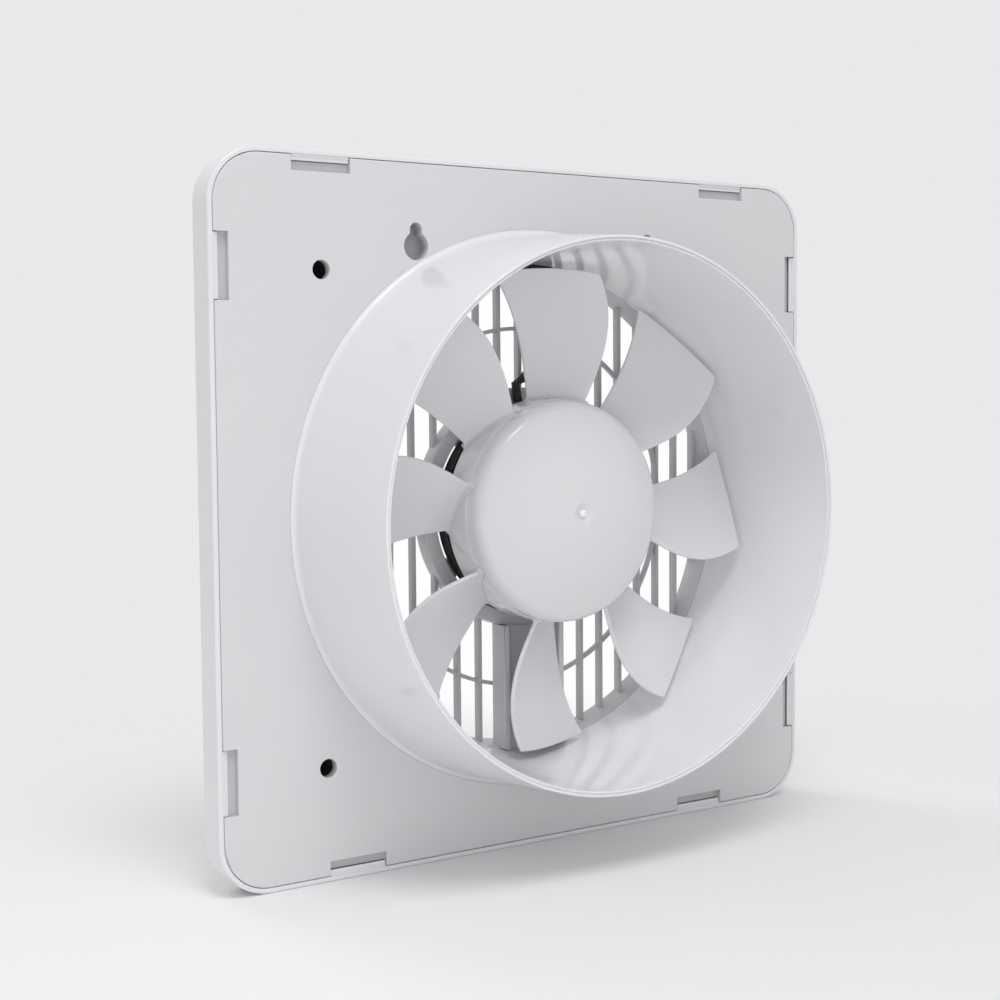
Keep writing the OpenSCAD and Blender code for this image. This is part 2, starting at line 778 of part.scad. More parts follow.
module impeller() {
    color([0.9, 0.9, 0.92])
        upright()
            difference() {
                union() {
                    hub_shell();
                    disc(hub_boss_r, boss_in_z, hub_top_z - hub_wall - boss_in_z);
                    for (i = [0 : blade_count - 1])
                        rotate([0, 0, 360 / blade_count * i]) blade();
                }
                disc(shaft_r + fit_clear, boss_in_z - 1, shaft_front_z - boss_in_z + 1 + touch);
                ring(gate_dish_r, gate_r, hub_top_z - gate_dish, 5);
                disc(gate_r + eps, hub_top_z - gate_dish + gate_h, 5);
            }
}

module hub_clip() {
    color([0.6, 0.61, 0.62])
        upright()
            difference() {
                ring(hub_boss_r + fit_clear + clip_t, hub_boss_r + fit_clear, clip_z, clip_len);
                translate([hub_boss_r - 1, -0.8, clip_z - 1]) cube([4, 1.6, clip_len + 2]);
            }
}

// Motor

module motor_shaft() {
    color([0.75, 0.75, 0.77])
        upright()
            disc(shaft_r, shaft_rear_z, shaft_front_z - shaft_rear_z);
}

module rotor_core() {
    color([0.45, 0.46, 0.48])
        upright() ring(rotor_r, shaft_r + fit_clear, stack_z, stack_h);
}

module rotor_cage() {
    color([0.78, 0.79, 0.8])
        upright() {
            ring(rotor_r - 0.6, cage_inner_r, stack_z - cage_h, cage_h);
            ring(rotor_r - 0.6, cage_inner_r, stack_end_z, cage_h);
        }
}

module thrust_washers() {
    color([0.86, 0.8, 0.62])
        upright() {
            ring(thrust_r, washer_in_r, bearing_rear_end + touch, thrust_t);
            ring(thrust_r, washer_in_r, bearing_front_z - touch - thrust_t, thrust_t);
        }
}

module bearing_housing(z, h) {
    ring(bearing_r + bearing_wall, bearing_r + fit_clear, z, h);
}

module at_bolts() {
    for (i = [0 : bolt_count - 1])
        at_polar(bolt_circle_r, 360 / bolt_count * i) children();
}

module at_mount_screws() {
    for (i = [0 : 2])
        at_polar(mount_screw_r, mount_screw_turn + 120 * i) children();
}

module rear_bracket() {
    color([0.2, 0.2, 0.21])
        upright()
            difference() {
                union() {
                    ring(motor_r, motor_r - bracket_t, bracket_z, bracket_h);
                    disc(motor_r - bracket_t / 2, bracket_z, bracket_t);
                    bearing_housing(bracket_in_z - eps, bearing_len - 0.4);
                    // inward rim that the stator stack is clamped on
                    ring(motor_r - bracket_t / 2, rim_inner_r, bracket_end_z - bracket_t, bracket_t);
                }
                at_bolts() disc(bolt_d / 2 + bolt_clear, bracket_z - 1, bracket_h + 2);
                at_mount_screws() disc(motor_mount_d / 2 + pilot_clear, bracket_z - 1, bracket_t + 2);
                rotate([0, 0, lead_angle])
                    translate([motor_r - 7, lead_side - lead_d / 2 - 0.4, lead_exit_z - lead_d / 2 - 0.3])
                        cube([10, lead_d + 0.8, lead_d + 0.6]);
            }
}

module front_bracket() {
    color([0.2, 0.2, 0.21])
        upright()
            difference() {
                union() {
                    ring(front_bracket_r, front_bracket_r - bracket_t, stack_end_z, front_bracket_h);
                    ring(front_bracket_r - bracket_t / 2, shaft_r + 0.6, front_bracket_z - bracket_t,
                         bracket_t);
                    bearing_housing(bearing_front_z + 0.4, bearing_len);
                    ring(front_bracket_r - bracket_t / 2, rim_inner_r, stack_end_z, bracket_t);
                }
                at_bolts() disc(bolt_d / 2 + bolt_clear, stack_end_z - 1, front_bracket_h + 2);
            }
}

module stator_core() {
    color([0.5, 0.51, 0.53])
        upright()
            difference() {
                ring(stack_r, stator_bore_r, stack_z, stack_h);
                at_bolts() disc(bolt_d / 2 + bolt_clear, stack_z - 1, stack_h + 2);
            }
}

module stator_coils() {
    color([0.72, 0.42, 0.2])
        upright() {
            coil(stack_z - insulator_t - coil_rear_h, coil_rear_h);
            coil(stack_end_z + insulator_t, coil_front_h);
        }
}

// A bundle of end turns: a ring with rounded shoulders
module coil(z, h) {
    width = coil_outer_r - coil_inner_r;
    rotate_extrude($fn = fine) {
        translate([coil_inner_r, z + coil_round]) square([width, h - 2 * coil_round]);
        translate([coil_inner_r + coil_round, z]) square([width - 2 * coil_round, h]);
        for (x = [coil_inner_r + coil_round, coil_outer_r - coil_round],
             y = [z + coil_round, z + h - coil_round])
            translate([x, y]) circle(coil_round, $fn = small);
    }
}

module coil_insulators() {
    color([0.05, 0.05, 0.05])
        upright()
            difference() {
                union() {
                    ring(insulator_r, stator_bore_r + 0.6, stack_z - insulator_t, insulator_t);
                    ring(insulator_r, rim_inner_r, bracket_end_z, insulator_h - insulator_t + eps);
                    ring(coil_outer_r, stator_bore_r + 0.6, stack_end_z, insulator_t);
                }
                at_bolts() disc(bolt_d / 2 + bolt_clear, bracket_end_z - 1, insulator_h + stack_h + 4);
            }
}

module rear_bearing() {
    color([0.7, 0.55, 0.3])
        upright() ring(bearing_r, shaft_r + shaft_clear, bracket_in_z, bearing_len);
}

module front_bearing() {
    color([0.7, 0.55, 0.3])
        upright() ring(bearing_r, shaft_r + shaft_clear, bearing_front_z, bearing_len);
}

module bearing_felts() {
    color([0.8, 0.78, 0.7])
        upright() {
            ring(felt_r, bearing_r + bearing_wall + fit_clear, bracket_in_z, felt_h);
            ring(felt_r, bearing_r + bearing_wall + fit_clear,
                 front_bracket_z - bracket_t - felt_h, felt_h);
        }
}

module motor_bolts() {
    color([0.7, 0.71, 0.73])
        upright()
            at_bolts() {
                disc(bolt_d / 2, bracket_z, front_bracket_z + nut_h + bolt_past_nut - bracket_z);
                disc(bolt_head_r, bracket_z - bolt_head_h, bolt_head_h);
            }
}

module bolt_nuts() {
    color([0.7, 0.71, 0.73])
        upright()
            at_bolts()
                difference() {
                    translate([0, 0, front_bracket_z])
                        cylinder(r = bolt_head_r + 0.3, h = nut_h, $fn = 6);
                    disc(bolt_d / 2 + fit_clear, front_bracket_z - 1, nut_h + 2);
                }
}

module motor_screws() {
    color([0.7, 0.71, 0.73])
        upright()
            at_mount_screws()
                screw_with_head(motor_mount_d, 2 * motor_head_r, motor_head_h, cup_floor_z,
                                bracket_in_z + 1.2);
}

module motor_washers() {
    color([0.08, 0.08, 0.08])
        upright()
            at_mount_screws()
                difference() {
                    disc(washer_r, cup_floor_top, washer_t);
                    disc(motor_mount_d / 2 + bolt_clear, cup_floor_top - 1, washer_t + 2);
                }
}

module thermal_fuse() {
    color([0.85, 0.85, 0.8])
        upright()
            rotate([0, 0, fuse_angle])
                translate([coil_inner_r + 0.8, -fuse_size[0] / 2, bracket_in_z + 0.1])
                    cube([fuse_size[1], fuse_size[0], fuse_size[2]]);
}

// Wiring

module motor_lead() {
    exit = [cos(lead_angle), sin(lead_angle)];
    across = [-exit[1], exit[0]];
    start = [for (r = [motor_r - 3, motor_r + 2, cup_r + 1.5])
                [exit[0] * r + across[0] * lead_side, exit[1] * r + across[1] * lead_side, lead_exit_z]];
    // a smooth bend that turns past the motor and then runs up to the grommet
    leave = start[2];
    enter = [grommet_x, grommet_in_y - 0.8, grommet_z];
    rise = [0, norm(enter - leave) / 2, 0];
    bend = [for (i = [1 : 7]) bezier(leave, leave + lead_turn, enter - rise, enter, i / 8)];
    climb = concat(bend,
                   [for (y = [grommet_in_y - 0.8, grommet_in_y + 3, throat_r, sleeve_seat_r + 2.7])
                       [grommet_x, y, grommet_z]],
                   [[grommet_x + 1.2, lead_ring_r + 1.1, grommet_z + 0.8],
                    [grommet_x + 4, lead_ring_r + 1.3, grommet_z + 2.6]]);
    around = [for (a = [82 : -4 : 14])
                 [lead_ring_r * cos(a), lead_ring_r * sin(a), lead_ring_z]];
    finish = [[lead_ring_r + 0.4, 16.8, lead_ring_z - 0.2], [lead_ring_r + 3.2, 12.2, lead_ring_z - 0.8],
              [terminal_side_x - lead_d, terminal_y + 2, lead_ring_z - 1],
              [terminal_side_x, terminal_y + 2, lead_ring_z - 1]];
    color([0.06, 0.06, 0.06])
        upright() tube_along(concat(start, climb, around, finish), lead_d / 2);
}

module lead_grommet() {
    color([0.1, 0.1, 0.1])
        upright()
            difference() {
                union() {
                    intersection() {
                        translate([grommet_x - grommet_w / 2, grommet_in_y, grommet_z - grommet_t / 2])
                            cube([grommet_w, grommet_len, grommet_t]);
                        translate([0, 0, grommet_z - grommet_t])
                            cylinder(r = throat_r - 0.4, h = 2 * grommet_t, $fn = fine);
                    }
                    translate([grommet_x - grommet_neck_w / 2, throat_r - 4,
                               grommet_z - grommet_neck_t / 2])
                        cube([grommet_neck_w, grommet_out_y - throat_r + 5, grommet_neck_t]);
                    translate([grommet_x - grommet_w / 2, grommet_out_y, grommet_z - grommet_t / 2])
                        cube([grommet_w, grommet_flange, grommet_t]);
                }
                translate([grommet_x, grommet_in_y - 1, grommet_z])
                    rotate([-90, 0, 0])
                        cylinder(r = lead_d / 2 + grommet_bore_clear,
                                 h = grommet_out_y + grommet_flange + 2 - grommet_in_y, $fn = small);
            }
}

module capacitor() {
    color([0.12, 0.12, 0.13])
        upright()
            translate([cap_x - cap_size[0] / 2, -cap_size[1] / 2, -plate_t - cap_size[2]])
                cube(cap_size);
}

module capacitor_clip() {
    inner = [cap_size[0] + 2 * touch, cap_clip_w, cap_size[2] + touch];
    color([0.88, 0.88, 0.9])
        upright()
            difference() {
                translate([cap_x - inner[0] / 2 - cap_clip_t, -cap_clip_w / 2,
                           -plate_t - inner[2] - cap_clip_t])
                    cube([inner[0] + 2 * cap_clip_t, cap_clip_w, inner[2] + cap_clip_t]);
                translate([cap_x - inner[0] / 2, -cap_clip_w / 2 - 1, -plate_t - inner[2]])
                    cube([inner[0], cap_clip_w + 2, inner[2] + 1]);
            }
}

module capacitor_lead() {
    cap_side_x = cap_x + cap_size[0] / 2 + touch;
    lead_y = -cap_size[1] / 2 + 2;
    first = [[cap_side_x, lead_y, lead_ring_z - 1], [cap_side_x + lead_d, lead_y, lead_ring_z - 1],
             [-lead_ring_r - 3.4, -14.2, lead_ring_z - 0.8], [-lead_ring_r - 0.4, -17, lead_ring_z - 0.2]];
    around = [for (a = [194 : 4 : 354])
                 [lead_ring_r * cos(a), lead_ring_r * sin(a), lead_ring_z]];
    finish = [[lead_ring_r + 0.8, -5.2, lead_ring_z - 0.2], [lead_ring_r + 3.2, -1, lead_ring_z - 0.8],
              [terminal_side_x - lead_d, 1.5, lead_ring_z - 1], [terminal_side_x, 1.5, lead_ring_z - 1]];
    color([0.06, 0.06, 0.06])
        upright() tube_along(concat(first, around, finish), lead_d / 2);
}

module terminal_block() {
    color([0.9, 0.9, 0.88])
        upright()
            difference() {
                translate([terminal_x - terminal_size[0] / 2, terminal_y - terminal_size[1] / 2,
                           -plate_t - terminal_size[2]])
                    cube(terminal_size);
                at_terminals() disc(terminal_screw_d / 2 + pilot_clear, -plate_t - terminal_size[2] - 1,
                                    terminal_size[2] - 1);
                at_terminals()
                    disc(terminal_screw_d / 2 + 1, -plate_t - terminal_size[2] - 1, 2.6);
            }
}

module at_terminals() {
    for (s = [-1, 1])
        translate([terminal_x, terminal_y + s * terminal_pitch / 2, 0]) children();
}

module terminal_screws() {
    head_z = -plate_t - terminal_size[2] + 1.6;
    color([0.78, 0.72, 0.5])
        upright()
            at_terminals()
                screw_with_head(terminal_screw_d, terminal_screw_d + 1.6, 1.2, head_z, -plate_t - 2.4);
}

module at_clamp_screws() {
    for (s = [-1, 1])
        translate([terminal_x + s * (clamp_size[0] / 2 - clamp_post_r), clamp_y, 0]) children();
}

module cord_clamp() {
    clamp_z = -plate_t - clamp_post_h;
    color([0.88, 0.88, 0.9])
        upright()
            difference() {
                translate([terminal_x - clamp_size[0] / 2, clamp_y - clamp_size[1] / 2,
                           clamp_z - clamp_size[2]])
                    cube(clamp_size);
                at_clamp_screws() disc(screw_d / 2 + 0.15, clamp_z - clamp_size[2] - 1, clamp_size[2] + 2);
            }
}

module clamp_screws() {
    head_z = -plate_t - clamp_post_h - clamp_size[2];
    color([0.72, 0.73, 0.75])
        upright()
            at_clamp_screws()
                screw_with_head(screw_d, screw_head_d - 0.6, 1.3, head_z, -plate_t - 0.6);
}

module cable_grommet() {
    color([0.1, 0.1, 0.1])
        upright()
            translate([terminal_x, inlet_y, 0])
                difference() {
                    union() {
                        disc(inlet_hole_r - touch, -plate_t - 0.5, plate_t + 0.5);
                        disc(inlet_flange_r, -plate_t - inlet_flange_t, inlet_flange_t);
                    }
                    disc(inlet_bore_r, -plate_t - inlet_flange_t - 1, plate_t + inlet_flange_t + 3);
                }
}

back_plate();
duct();
front_cover();
motor_guard();
guard_screws();
screw_sleeves();
impeller();
hub_clip();
motor_shaft();
rotor_core();
rotor_cage();
thrust_washers();
rear_bracket();
front_bracket();
stator_core();
stator_coils();
coil_insulators();
rear_bearing();
front_bearing();
bearing_felts();
motor_bolts();
bolt_nuts();
motor_screws();
motor_washers();
thermal_fuse();
motor_lead();
lead_grommet();
capacitor();
capacitor_clip();
capacitor_lead();
terminal_block();
terminal_screws();
cord_clamp();
clamp_screws();
cable_grommet();
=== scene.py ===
"""Looks of a window exhaust fan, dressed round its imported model.

The fan stands on its bottom edge and is seen from the duct side. A piece is worked out in
millimetres on the axis of the duct, with X to the right, Y up and Z along the duct, and stand()
then puts it in the frame of the model, in metres.
"""

import math

import bmesh
import bpy
from mathutils import Matrix, Vector


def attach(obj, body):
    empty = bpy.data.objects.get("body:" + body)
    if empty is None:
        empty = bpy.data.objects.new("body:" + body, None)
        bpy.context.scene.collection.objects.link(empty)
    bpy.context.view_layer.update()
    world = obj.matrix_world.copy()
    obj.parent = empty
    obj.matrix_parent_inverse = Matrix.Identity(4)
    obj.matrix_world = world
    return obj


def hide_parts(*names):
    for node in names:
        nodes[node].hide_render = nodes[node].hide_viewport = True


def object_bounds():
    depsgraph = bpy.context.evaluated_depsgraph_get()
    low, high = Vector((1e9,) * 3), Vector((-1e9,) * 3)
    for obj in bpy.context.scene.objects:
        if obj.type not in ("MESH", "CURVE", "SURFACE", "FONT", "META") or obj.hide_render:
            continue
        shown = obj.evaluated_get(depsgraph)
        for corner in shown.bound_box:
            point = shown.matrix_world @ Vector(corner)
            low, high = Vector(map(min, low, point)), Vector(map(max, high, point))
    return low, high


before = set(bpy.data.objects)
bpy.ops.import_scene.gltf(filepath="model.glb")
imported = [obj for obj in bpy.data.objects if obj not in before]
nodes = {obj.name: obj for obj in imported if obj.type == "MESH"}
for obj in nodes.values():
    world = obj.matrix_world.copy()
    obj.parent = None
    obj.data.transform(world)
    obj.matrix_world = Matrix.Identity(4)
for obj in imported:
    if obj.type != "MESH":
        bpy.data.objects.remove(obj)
cad_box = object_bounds()

MM = 0.001

# Sizes in millimetres and angles in degrees, most as in the part's source. Cover and hooks
COVER_W = 250
COVER_H = 240
COVER_DEPTH = 15
COVER_WALL = 1.6
COVER_CORNER = 18
COVER_HOLE_R = 86.3
FACE_ROUND = 5
LIP_ROUND = 0.7
LIP_SWELL = 0.12
SEAM = 0.3
NOTCH_LEN = 21.5
TOP_NOTCH_X = 85
BOTTOM_NOTCH_X = 74.5
SIDE_NOTCH_Y = 82
HOOK_T = 0.9
HOOK_END_Z = -0.4
BARB_REACH = 2.1

# Duct and throat
PLATE_T = 3
DUCT_BASE_R = 96.5
DUCT_RIM_R = 92.5
DUCT_LEN = 52
DUCT_WALL = 1.8
DUCT_RIB_COUNT = 12
DUCT_RIB_T = 1.5
DUCT_RIB_END = 38
RIM_STEP = 0.45
ROOT_FILLET = 1.6
SEAT_Z = -7
THROAT_R = 84
SLEEVE_FRONT_R = 85.8
SLEEVE_SEAT_R = 88.3
SLEEVE_BORE_R = 86.5

# Guard: bars, cup of the motor, support arm and ears
GUARD_FRONT_Z = -14.4
BAR_FRONT_Z = -14
BAR_DEPTH = 3
BAR_T = 1.6
BAR_PITCH = 9
BARS_EACH_SIDE = 9
RIB_RING_R = 64
RIB_RING_T = 1.4
CUP_R = 43
CUP_WALL = 1.8
CUP_FLOOR_Z = -13.2
CUP_TOP_Z = -8
CUP_LIP_R = 37.7
CUP_LIP_T = 1.4
VENT_COUNT = 9
VENT_BRIDGE = 12
VENT_INNER_R = 31.2
VENT_OUTER_R = 37.6
LEAD_ANGLE = 100
LEAD_SLOT_ANGLE = 30
LEAD_SIDE = -2.9
LEAD_D = 3.2
ARM_W = 26
ARM_WALL = 2.5
ARM_FLOOR_Z = -9
ARM_FLOOR_T = 1.8
ARM_TOP_Z = -3
LUG_COUNT = 4
LUG_R = 101
LUG_TURN = 45
LUG_W = 9
LUG_T = 2.4
LUG_Z = -8
LUG_NECK_W = 7.6
GROMMET_X = 7
GROMMET_Z = -9.2
GROMMET_NECK_W = 9.2
GROMMET_NECK_T = 4.4
GROMMET_IN_Y = 75.9
GROMMET_W = 13.2
GROMMET_T = 6.2

# Screws of the guard, and of the motor in its cup
SCREW_D = 2.9
SCREW_HEAD_R = 2.8
SCREW_HEAD_H = 1.7
SCREW_GAP = 0.2
MOUNT_SCREW_COUNT = 3
MOUNT_SCREW_R = 24
MOUNT_SCREW_TURN = 60
MOUNT_SCREW_D = 3.5
MOUNT_HEAD_R = 3.2
MOUNT_HEAD_H = 1.1

# Impeller
HUB_R = 39
HUB_STEP = 0.5
HUB_WALL = 2.2
HUB_REAR_Z = 1
HUB_STEP_Z = 12.5
HUB_TOP_Z = 27
HUB_SHOULDER = 5
HUB_DOME_R = 99.3
GATE_R = 1.25
DIMPLE_R = 3.7
DIMPLE_DEPTH = 1.3
BOSS_R = 6.5
BOSS_REAR_Z = 13.7
BOSS_FRONT_Z = 24.6
SHAFT_R = 3
BLADE_COUNT = 8
BLADE_ROOT_R = 37.4
BLADE_TIP_R = 84.5
BLADE_MID_Z = 6.7
BLADE_RISE = 13.5
ROOT_RISE_LOSS = 0.08
BLADE_PHASE = -3.6
BLADE_SWEEP = 4
BLADE_BULGE = 4
BLADE_CAMBER = 1.8
MID_SWELL = 1.6
ROOT_HALF_ANGLE = 11.5
TIP_HALF_ANGLE = 12.3
BLADE_HALF_T = 0.95
BLADE_THINNING = 0.32
BLADE_EDGE_R = 0.42
BLADE_FILLET = 1.5
BLADE_CORNER_R = 0.7

# The photograph's camera. COOL is how far white leans to blue.
CAMERA_PLACE = Vector((0.34738, 0.49163, 0.04533))
CAMERA_RIGHT = Vector((-0.82926, 0.55880, -0.00784))
CAMERA_UP = Vector((-0.04546, -0.05348, 0.99753))
CAMERA_BACK = CAMERA_RIGHT.cross(CAMERA_UP).normalized()
CAMERA_LENS = 61.254
COOL = 0.018

# Light of the room, the floor and the backdrop. The floor fades out between two distances from
# its centre, in metres. The lit oval is in shares of the distance to the backdrop, and its fade
# in shares of its half sizes.
ROOM_LIGHT = 0.615
FLOOR_SHADE = 0.88
FLOOR_CENTRE = (0.1, 0.15)
FLOOR_FADE = (0.26, 0.52)
BACKDROP_SHADE = 0.815
OVAL_ASIDE = 0.018
OVAL_ABOVE = -0.006
OVAL_HALF_W = 0.103
OVAL_HALF_H = 0.154
OVAL_FADE = (1.3, 0.8)


# Points and outlines

def stand(x, y, z):
    """A point of the duct axis frame, in millimetres, as a point of the model, in metres."""
    return Vector((-x, z, y)) * MM


def stand_side(x, z, y):
    """The same for a section that is drawn in X and Z, and runs along Y."""
    return stand(x, y, z)


def polar(r, angle, z=0.0):
    """A point at a radius and an angle in degrees round the duct axis."""
    turn = math.radians(angle)
    return (r * math.cos(turn), r * math.sin(turn), z)


def arc(cx, cy, r, start, end, steps):
    """Points of an arc in the plane, between two angles in degrees."""
    angles = [math.radians(start + (end - start) * i / steps) for i in range(steps + 1)]
    return [(cx + r * math.cos(a), cy + r * math.sin(a)) for a in angles]


def rounded(corners):
    """A closed outline in which each corner (x, y, radius) is turned into an arc."""
    steps = 4
    outline = []
    for i, (x, y, r) in enumerate(corners):
        here = Vector((x, y))
        back = (Vector(corners[i - 1][:2]) - here).normalized()
        ahead = (Vector(corners[(i + 1) % len(corners)][:2]) - here).normalized()
        if r == 0:
            outline.append((x, y))
            continue
        half = back.angle(ahead) / 2
        centre = here + (back + ahead).normalized() * (r / math.sin(half))
        first = here + back * (r / math.tan(half)) - centre
        last = here + ahead * (r / math.tan(half)) - centre
        start = math.atan2(first.y, first.x)
        sweep = math.remainder(math.atan2(last.y, last.x) - start, 2 * math.pi)
        for k in range(steps + 1):
            a = start + sweep * k / steps
            outline.append((centre.x + r * math.cos(a), centre.y + r * math.sin(a)))
    return outline


# Meshes

def add(name, data):
    """A new object in the scene."""
    piece = bpy.data.objects.new(name, data)
    bpy.context.scene.collection.objects.link(piece)
    return piece


def finish_mesh(name, bm, smooth=True):
    """An object made of a bmesh, with its doubles merged and its faces turned outwards."""
    bmesh.ops.remove_doubles(bm, verts=bm.verts, dist=1e-7)
    bmesh.ops.recalc_face_normals(bm, faces=bm.faces)
    mesh = bpy.data.meshes.new(name)
    bm.to_mesh(mesh)
    bm.free()
    for face in mesh.polygons:
        face.use_smooth = smooth
    return add(name, mesh)


def revolve(name, outline, segments=192, closed=True):
    """A solid turned round the duct axis. Its outline is (radius, height) points, and one that
    isn't closed starts and ends on the axis."""
    bm = bmesh.new()
    rings = []
    for r, z in outline:
        if r < 1e-6:
            rings.append([bm.verts.new(stand(0, 0, z))] * segments)
        else:
            rings.append([bm.verts.new(stand(*polar(r, 360 * k / segments, z)))
                          for k in range(segments)])
    pairs = list(zip(rings, rings[1:]))
    if closed:
        pairs.append((rings[-1], rings[0]))
    for low, high in pairs:
        for k in range(segments):
            corners = dict.fromkeys([low[k - 1], low[k], high[k], high[k - 1]])
            if len(corners) > 2:
                bm.faces.new(list(corners))
    return finish_mesh(name, bm)


def prism(name, outline, low, high, put=stand, smooth=False):
    """A flat solid between two heights. put gives the model's point of each (x, y, z)."""
    bm = bmesh.new()
    bottom = [bm.verts.new(put(x, y, low)) for x, y in outline]
    top = [bm.verts.new(put(x, y, high)) for x, y in outline]
    bm.faces.new(bottom)
    bm.faces.new(top)
    for k in range(len(outline)):
        bm.faces.new([bottom[k - 1], bottom[k], top[k], top[k - 1]])
    return finish_mesh(name, bm, smooth)


def modify(piece, kind, **settings):
    """Adds a modifier with these settings, and turns what it makes into the plain mesh."""
    modifier = piece.modifiers.new(kind.title(), kind)
    for key, value in settings.items():
        setattr(modifier, key, value)
    settle(piece)


def soften(piece, width, segments=2):
    """Rounds the sharp edges of a piece."""
    modify(piece, "BEVEL", width=width * MM, segments=segments, limit_method="ANGLE",
           angle_limit=math.radians(35), use_clamp_overlap=True)


def cut(piece, cutter, operation="DIFFERENCE"):
    """Cuts a piece with another one, which then goes."""
    modify(piece, "BOOLEAN", object=cutter, operation=operation, solver="EXACT")
    bpy.data.objects.remove(cutter)


def settle(piece):
    """Turns what the modifiers of a piece make into its plain mesh."""
    bpy.context.view_layer.update()
    graph = bpy.context.evaluated_depsgraph_get()
    made = bpy.data.meshes.new_from_object(piece.evaluated_get(graph))
    made.name = piece.name
    piece.modifiers.clear()
    piece.data = made


def join(name, pieces):
    """One piece made of several, which keep their faces and finishes."""
    bm = bmesh.new()
    finishes = []
    for piece in pieces:
        first = len(bm.faces)
        bm.from_mesh(piece.data)
        bm.faces.ensure_lookup_table()
        for face in bm.faces[first:]:
            finish = piece.data.materials[face.material_index]
            if finish not in finishes:
                finishes.append(finish)
            face.material_index = finishes.index(finish)
        bpy.data.objects.remove(piece)
    mesh = bpy.data.meshes.new(name)
    bm.to_mesh(mesh)
    bm.free()
    for finish in finishes:
        mesh.materials.append(finish)
    return add(name, mesh)


def paint(piece, material):
    """Gives a whole piece one finish."""
    piece.data.materials.clear()
    piece.data.materials.append(material)


def dress(piece, body, replaced):
    """Gives a finished piece its body and the node that it stands for."""
    modify(piece, "WEIGHTED_NORMAL", keep_sharp=True, weight=80)
    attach(piece, body)
    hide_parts(replaced)


# Node graphs

class Link:
    """An output of a node. Arithmetic on it adds Math nodes to its graph."""

    def __init__(self, graph, socket):
        self.graph = graph
        self.socket = socket

    def __add__(self, other):
        return self.graph.math("ADD", self, other)

    def __radd__(self, other):
        return self.graph.math("ADD", other, self)

    def __sub__(self, other):
        return self.graph.math("SUBTRACT", self, other)

    def __rsub__(self, other):
        return self.graph.math("SUBTRACT", other, self)

    def __mul__(self, other):
        return self.graph.math("MULTIPLY", self, other)

    def __rmul__(self, other):
        return self.graph.math("MULTIPLY", other, self)

    def __truediv__(self, other):
        return self.graph.math("DIVIDE", self, other)

    def __pow__(self, other):
        return self.graph.math("POWER", self, other)


class Graph:
    """A node tree with one method that adds any node, settings first."""

    def __init__(self, tree):
        self.tree = tree
        self.tree.nodes.clear()

    def node(self, kind, settings=None, inputs=None, output=0):
        """Adds a node and gives its output, by number or name. Inputs are values or links, and
        None leaves one as it is."""
        made = self.tree.nodes.new(kind)
        for key, value in (settings or {}).items():
            setattr(made, key, value)
        for key, value in (inputs or {}).items():
            if isinstance(value, Link):
                self.tree.links.new(value.socket, made.inputs[key])
            elif value is not None:
                made.inputs[key].default_value = value
        return Link(self, made.outputs[output]) if made.outputs else None

    def math(self, operation, first, second=0.0):
        """The result of an operation on one number, or on two."""
        return self.node("ShaderNodeMath", {"operation": operation}, {0: first, 1: second})

    def vector(self, x, y, z):
        """A vector made of three numbers."""
        return self.node("ShaderNodeCombineXYZ", None, {0: x, 1: y, 2: z})

    def parts(self, vector):
        """The three numbers of a vector."""
        whole = self.node("ShaderNodeSeparateXYZ", None, {0: vector})
        return [Link(self, socket) for socket in whole.socket.node.outputs]


# Finishes

class Finish(Graph):
    """A procedural material on Object coordinates."""

    def __init__(self, name):
        self.material = bpy.data.materials.new(name)
        self.material.use_nodes = True
        super().__init__(self.material.node_tree)
        self.place = self.node("ShaderNodeTexCoord", output="Object")

    def noise(self, size, detail=3.0, roughness=0.5, place=None):
        """Noise from 0 to 1 whose patches are about a size in millimetres."""
        return self.node("ShaderNodeTexNoise", None,
                         {"Vector": place or self.place, "Scale": 1 / (size * MM),
                          "Detail": detail, "Roughness": roughness})

    def ramp(self, value, low, high):
        """0 below a value, 1 above another, and smooth between them."""
        return self.node("ShaderNodeMapRange", {"interpolation_type": "SMOOTHSTEP"},
                         {"Value": value, "From Min": low, "From Max": high})

    def blend(self, mask, first, second):
        """A colour between two, by a mask."""
        return self.node("ShaderNodeMix", {"data_type": "RGBA"}, {0: mask, 6: first, 7: second},
                         output=2)

    def stretched(self, x, y, z):
        """Object coordinates scaled along each axis, for grain that runs one way."""
        return self.node("ShaderNodeMapping", None, {"Vector": self.place, "Scale": (x, y, z)})

    def bump(self, height, distance, strength=1.0, normal=None):
        """The normal of a surface with a height from 0 to 1, over a distance in millimetres."""
        return self.node("ShaderNodeBump", None, {"Height": height, "Distance": distance * MM,
                                                  "Strength": strength, "Normal": normal})

    def edge(self, radius):
        """The normal of a surface whose edges are rounded by a radius in millimetres."""
        return self.node("ShaderNodeBevel", {"samples": 4}, {"Radius": radius * MM})

    def close(self, colour, roughness, normal=None, metallic=0.0, constants=None):
        """Ends the material with a Principled shader. Constants are values of its own sockets."""
        inputs = {"Base Color": colour, "Roughness": roughness, "Metallic": metallic,
                  "Normal": normal, **(constants or {})}
        surface = self.node("ShaderNodeBsdfPrincipled", None, inputs)
        self.node("ShaderNodeOutputMaterial", None, {"Surface": surface})
        return self.material


def grey(value, cool=0.0):
    """A grey of a brightness, which leans to blue by cool."""
    return (value * (1 + cool * 0.15), value, value * (1 + cool), 1)


def depth(weight):
    """Light that enters white plastic and leaves it a little way off."""
    return {"Subsurface Weight": weight, "Subsurface Radius": (1.0, 1.0, 1.0),
            "Subsurface Scale": 2.5 * MM, "IOR": 1.5}


def clouded(finish, shade):
    """The colour of white plastic, with faint clouds a few centimetres across."""
    cloud = finish.noise(60, detail=1.0)
    return finish.blend(cloud, grey(shade * 0.985, COOL * 1.4), grey(shade * 1.015, COOL))


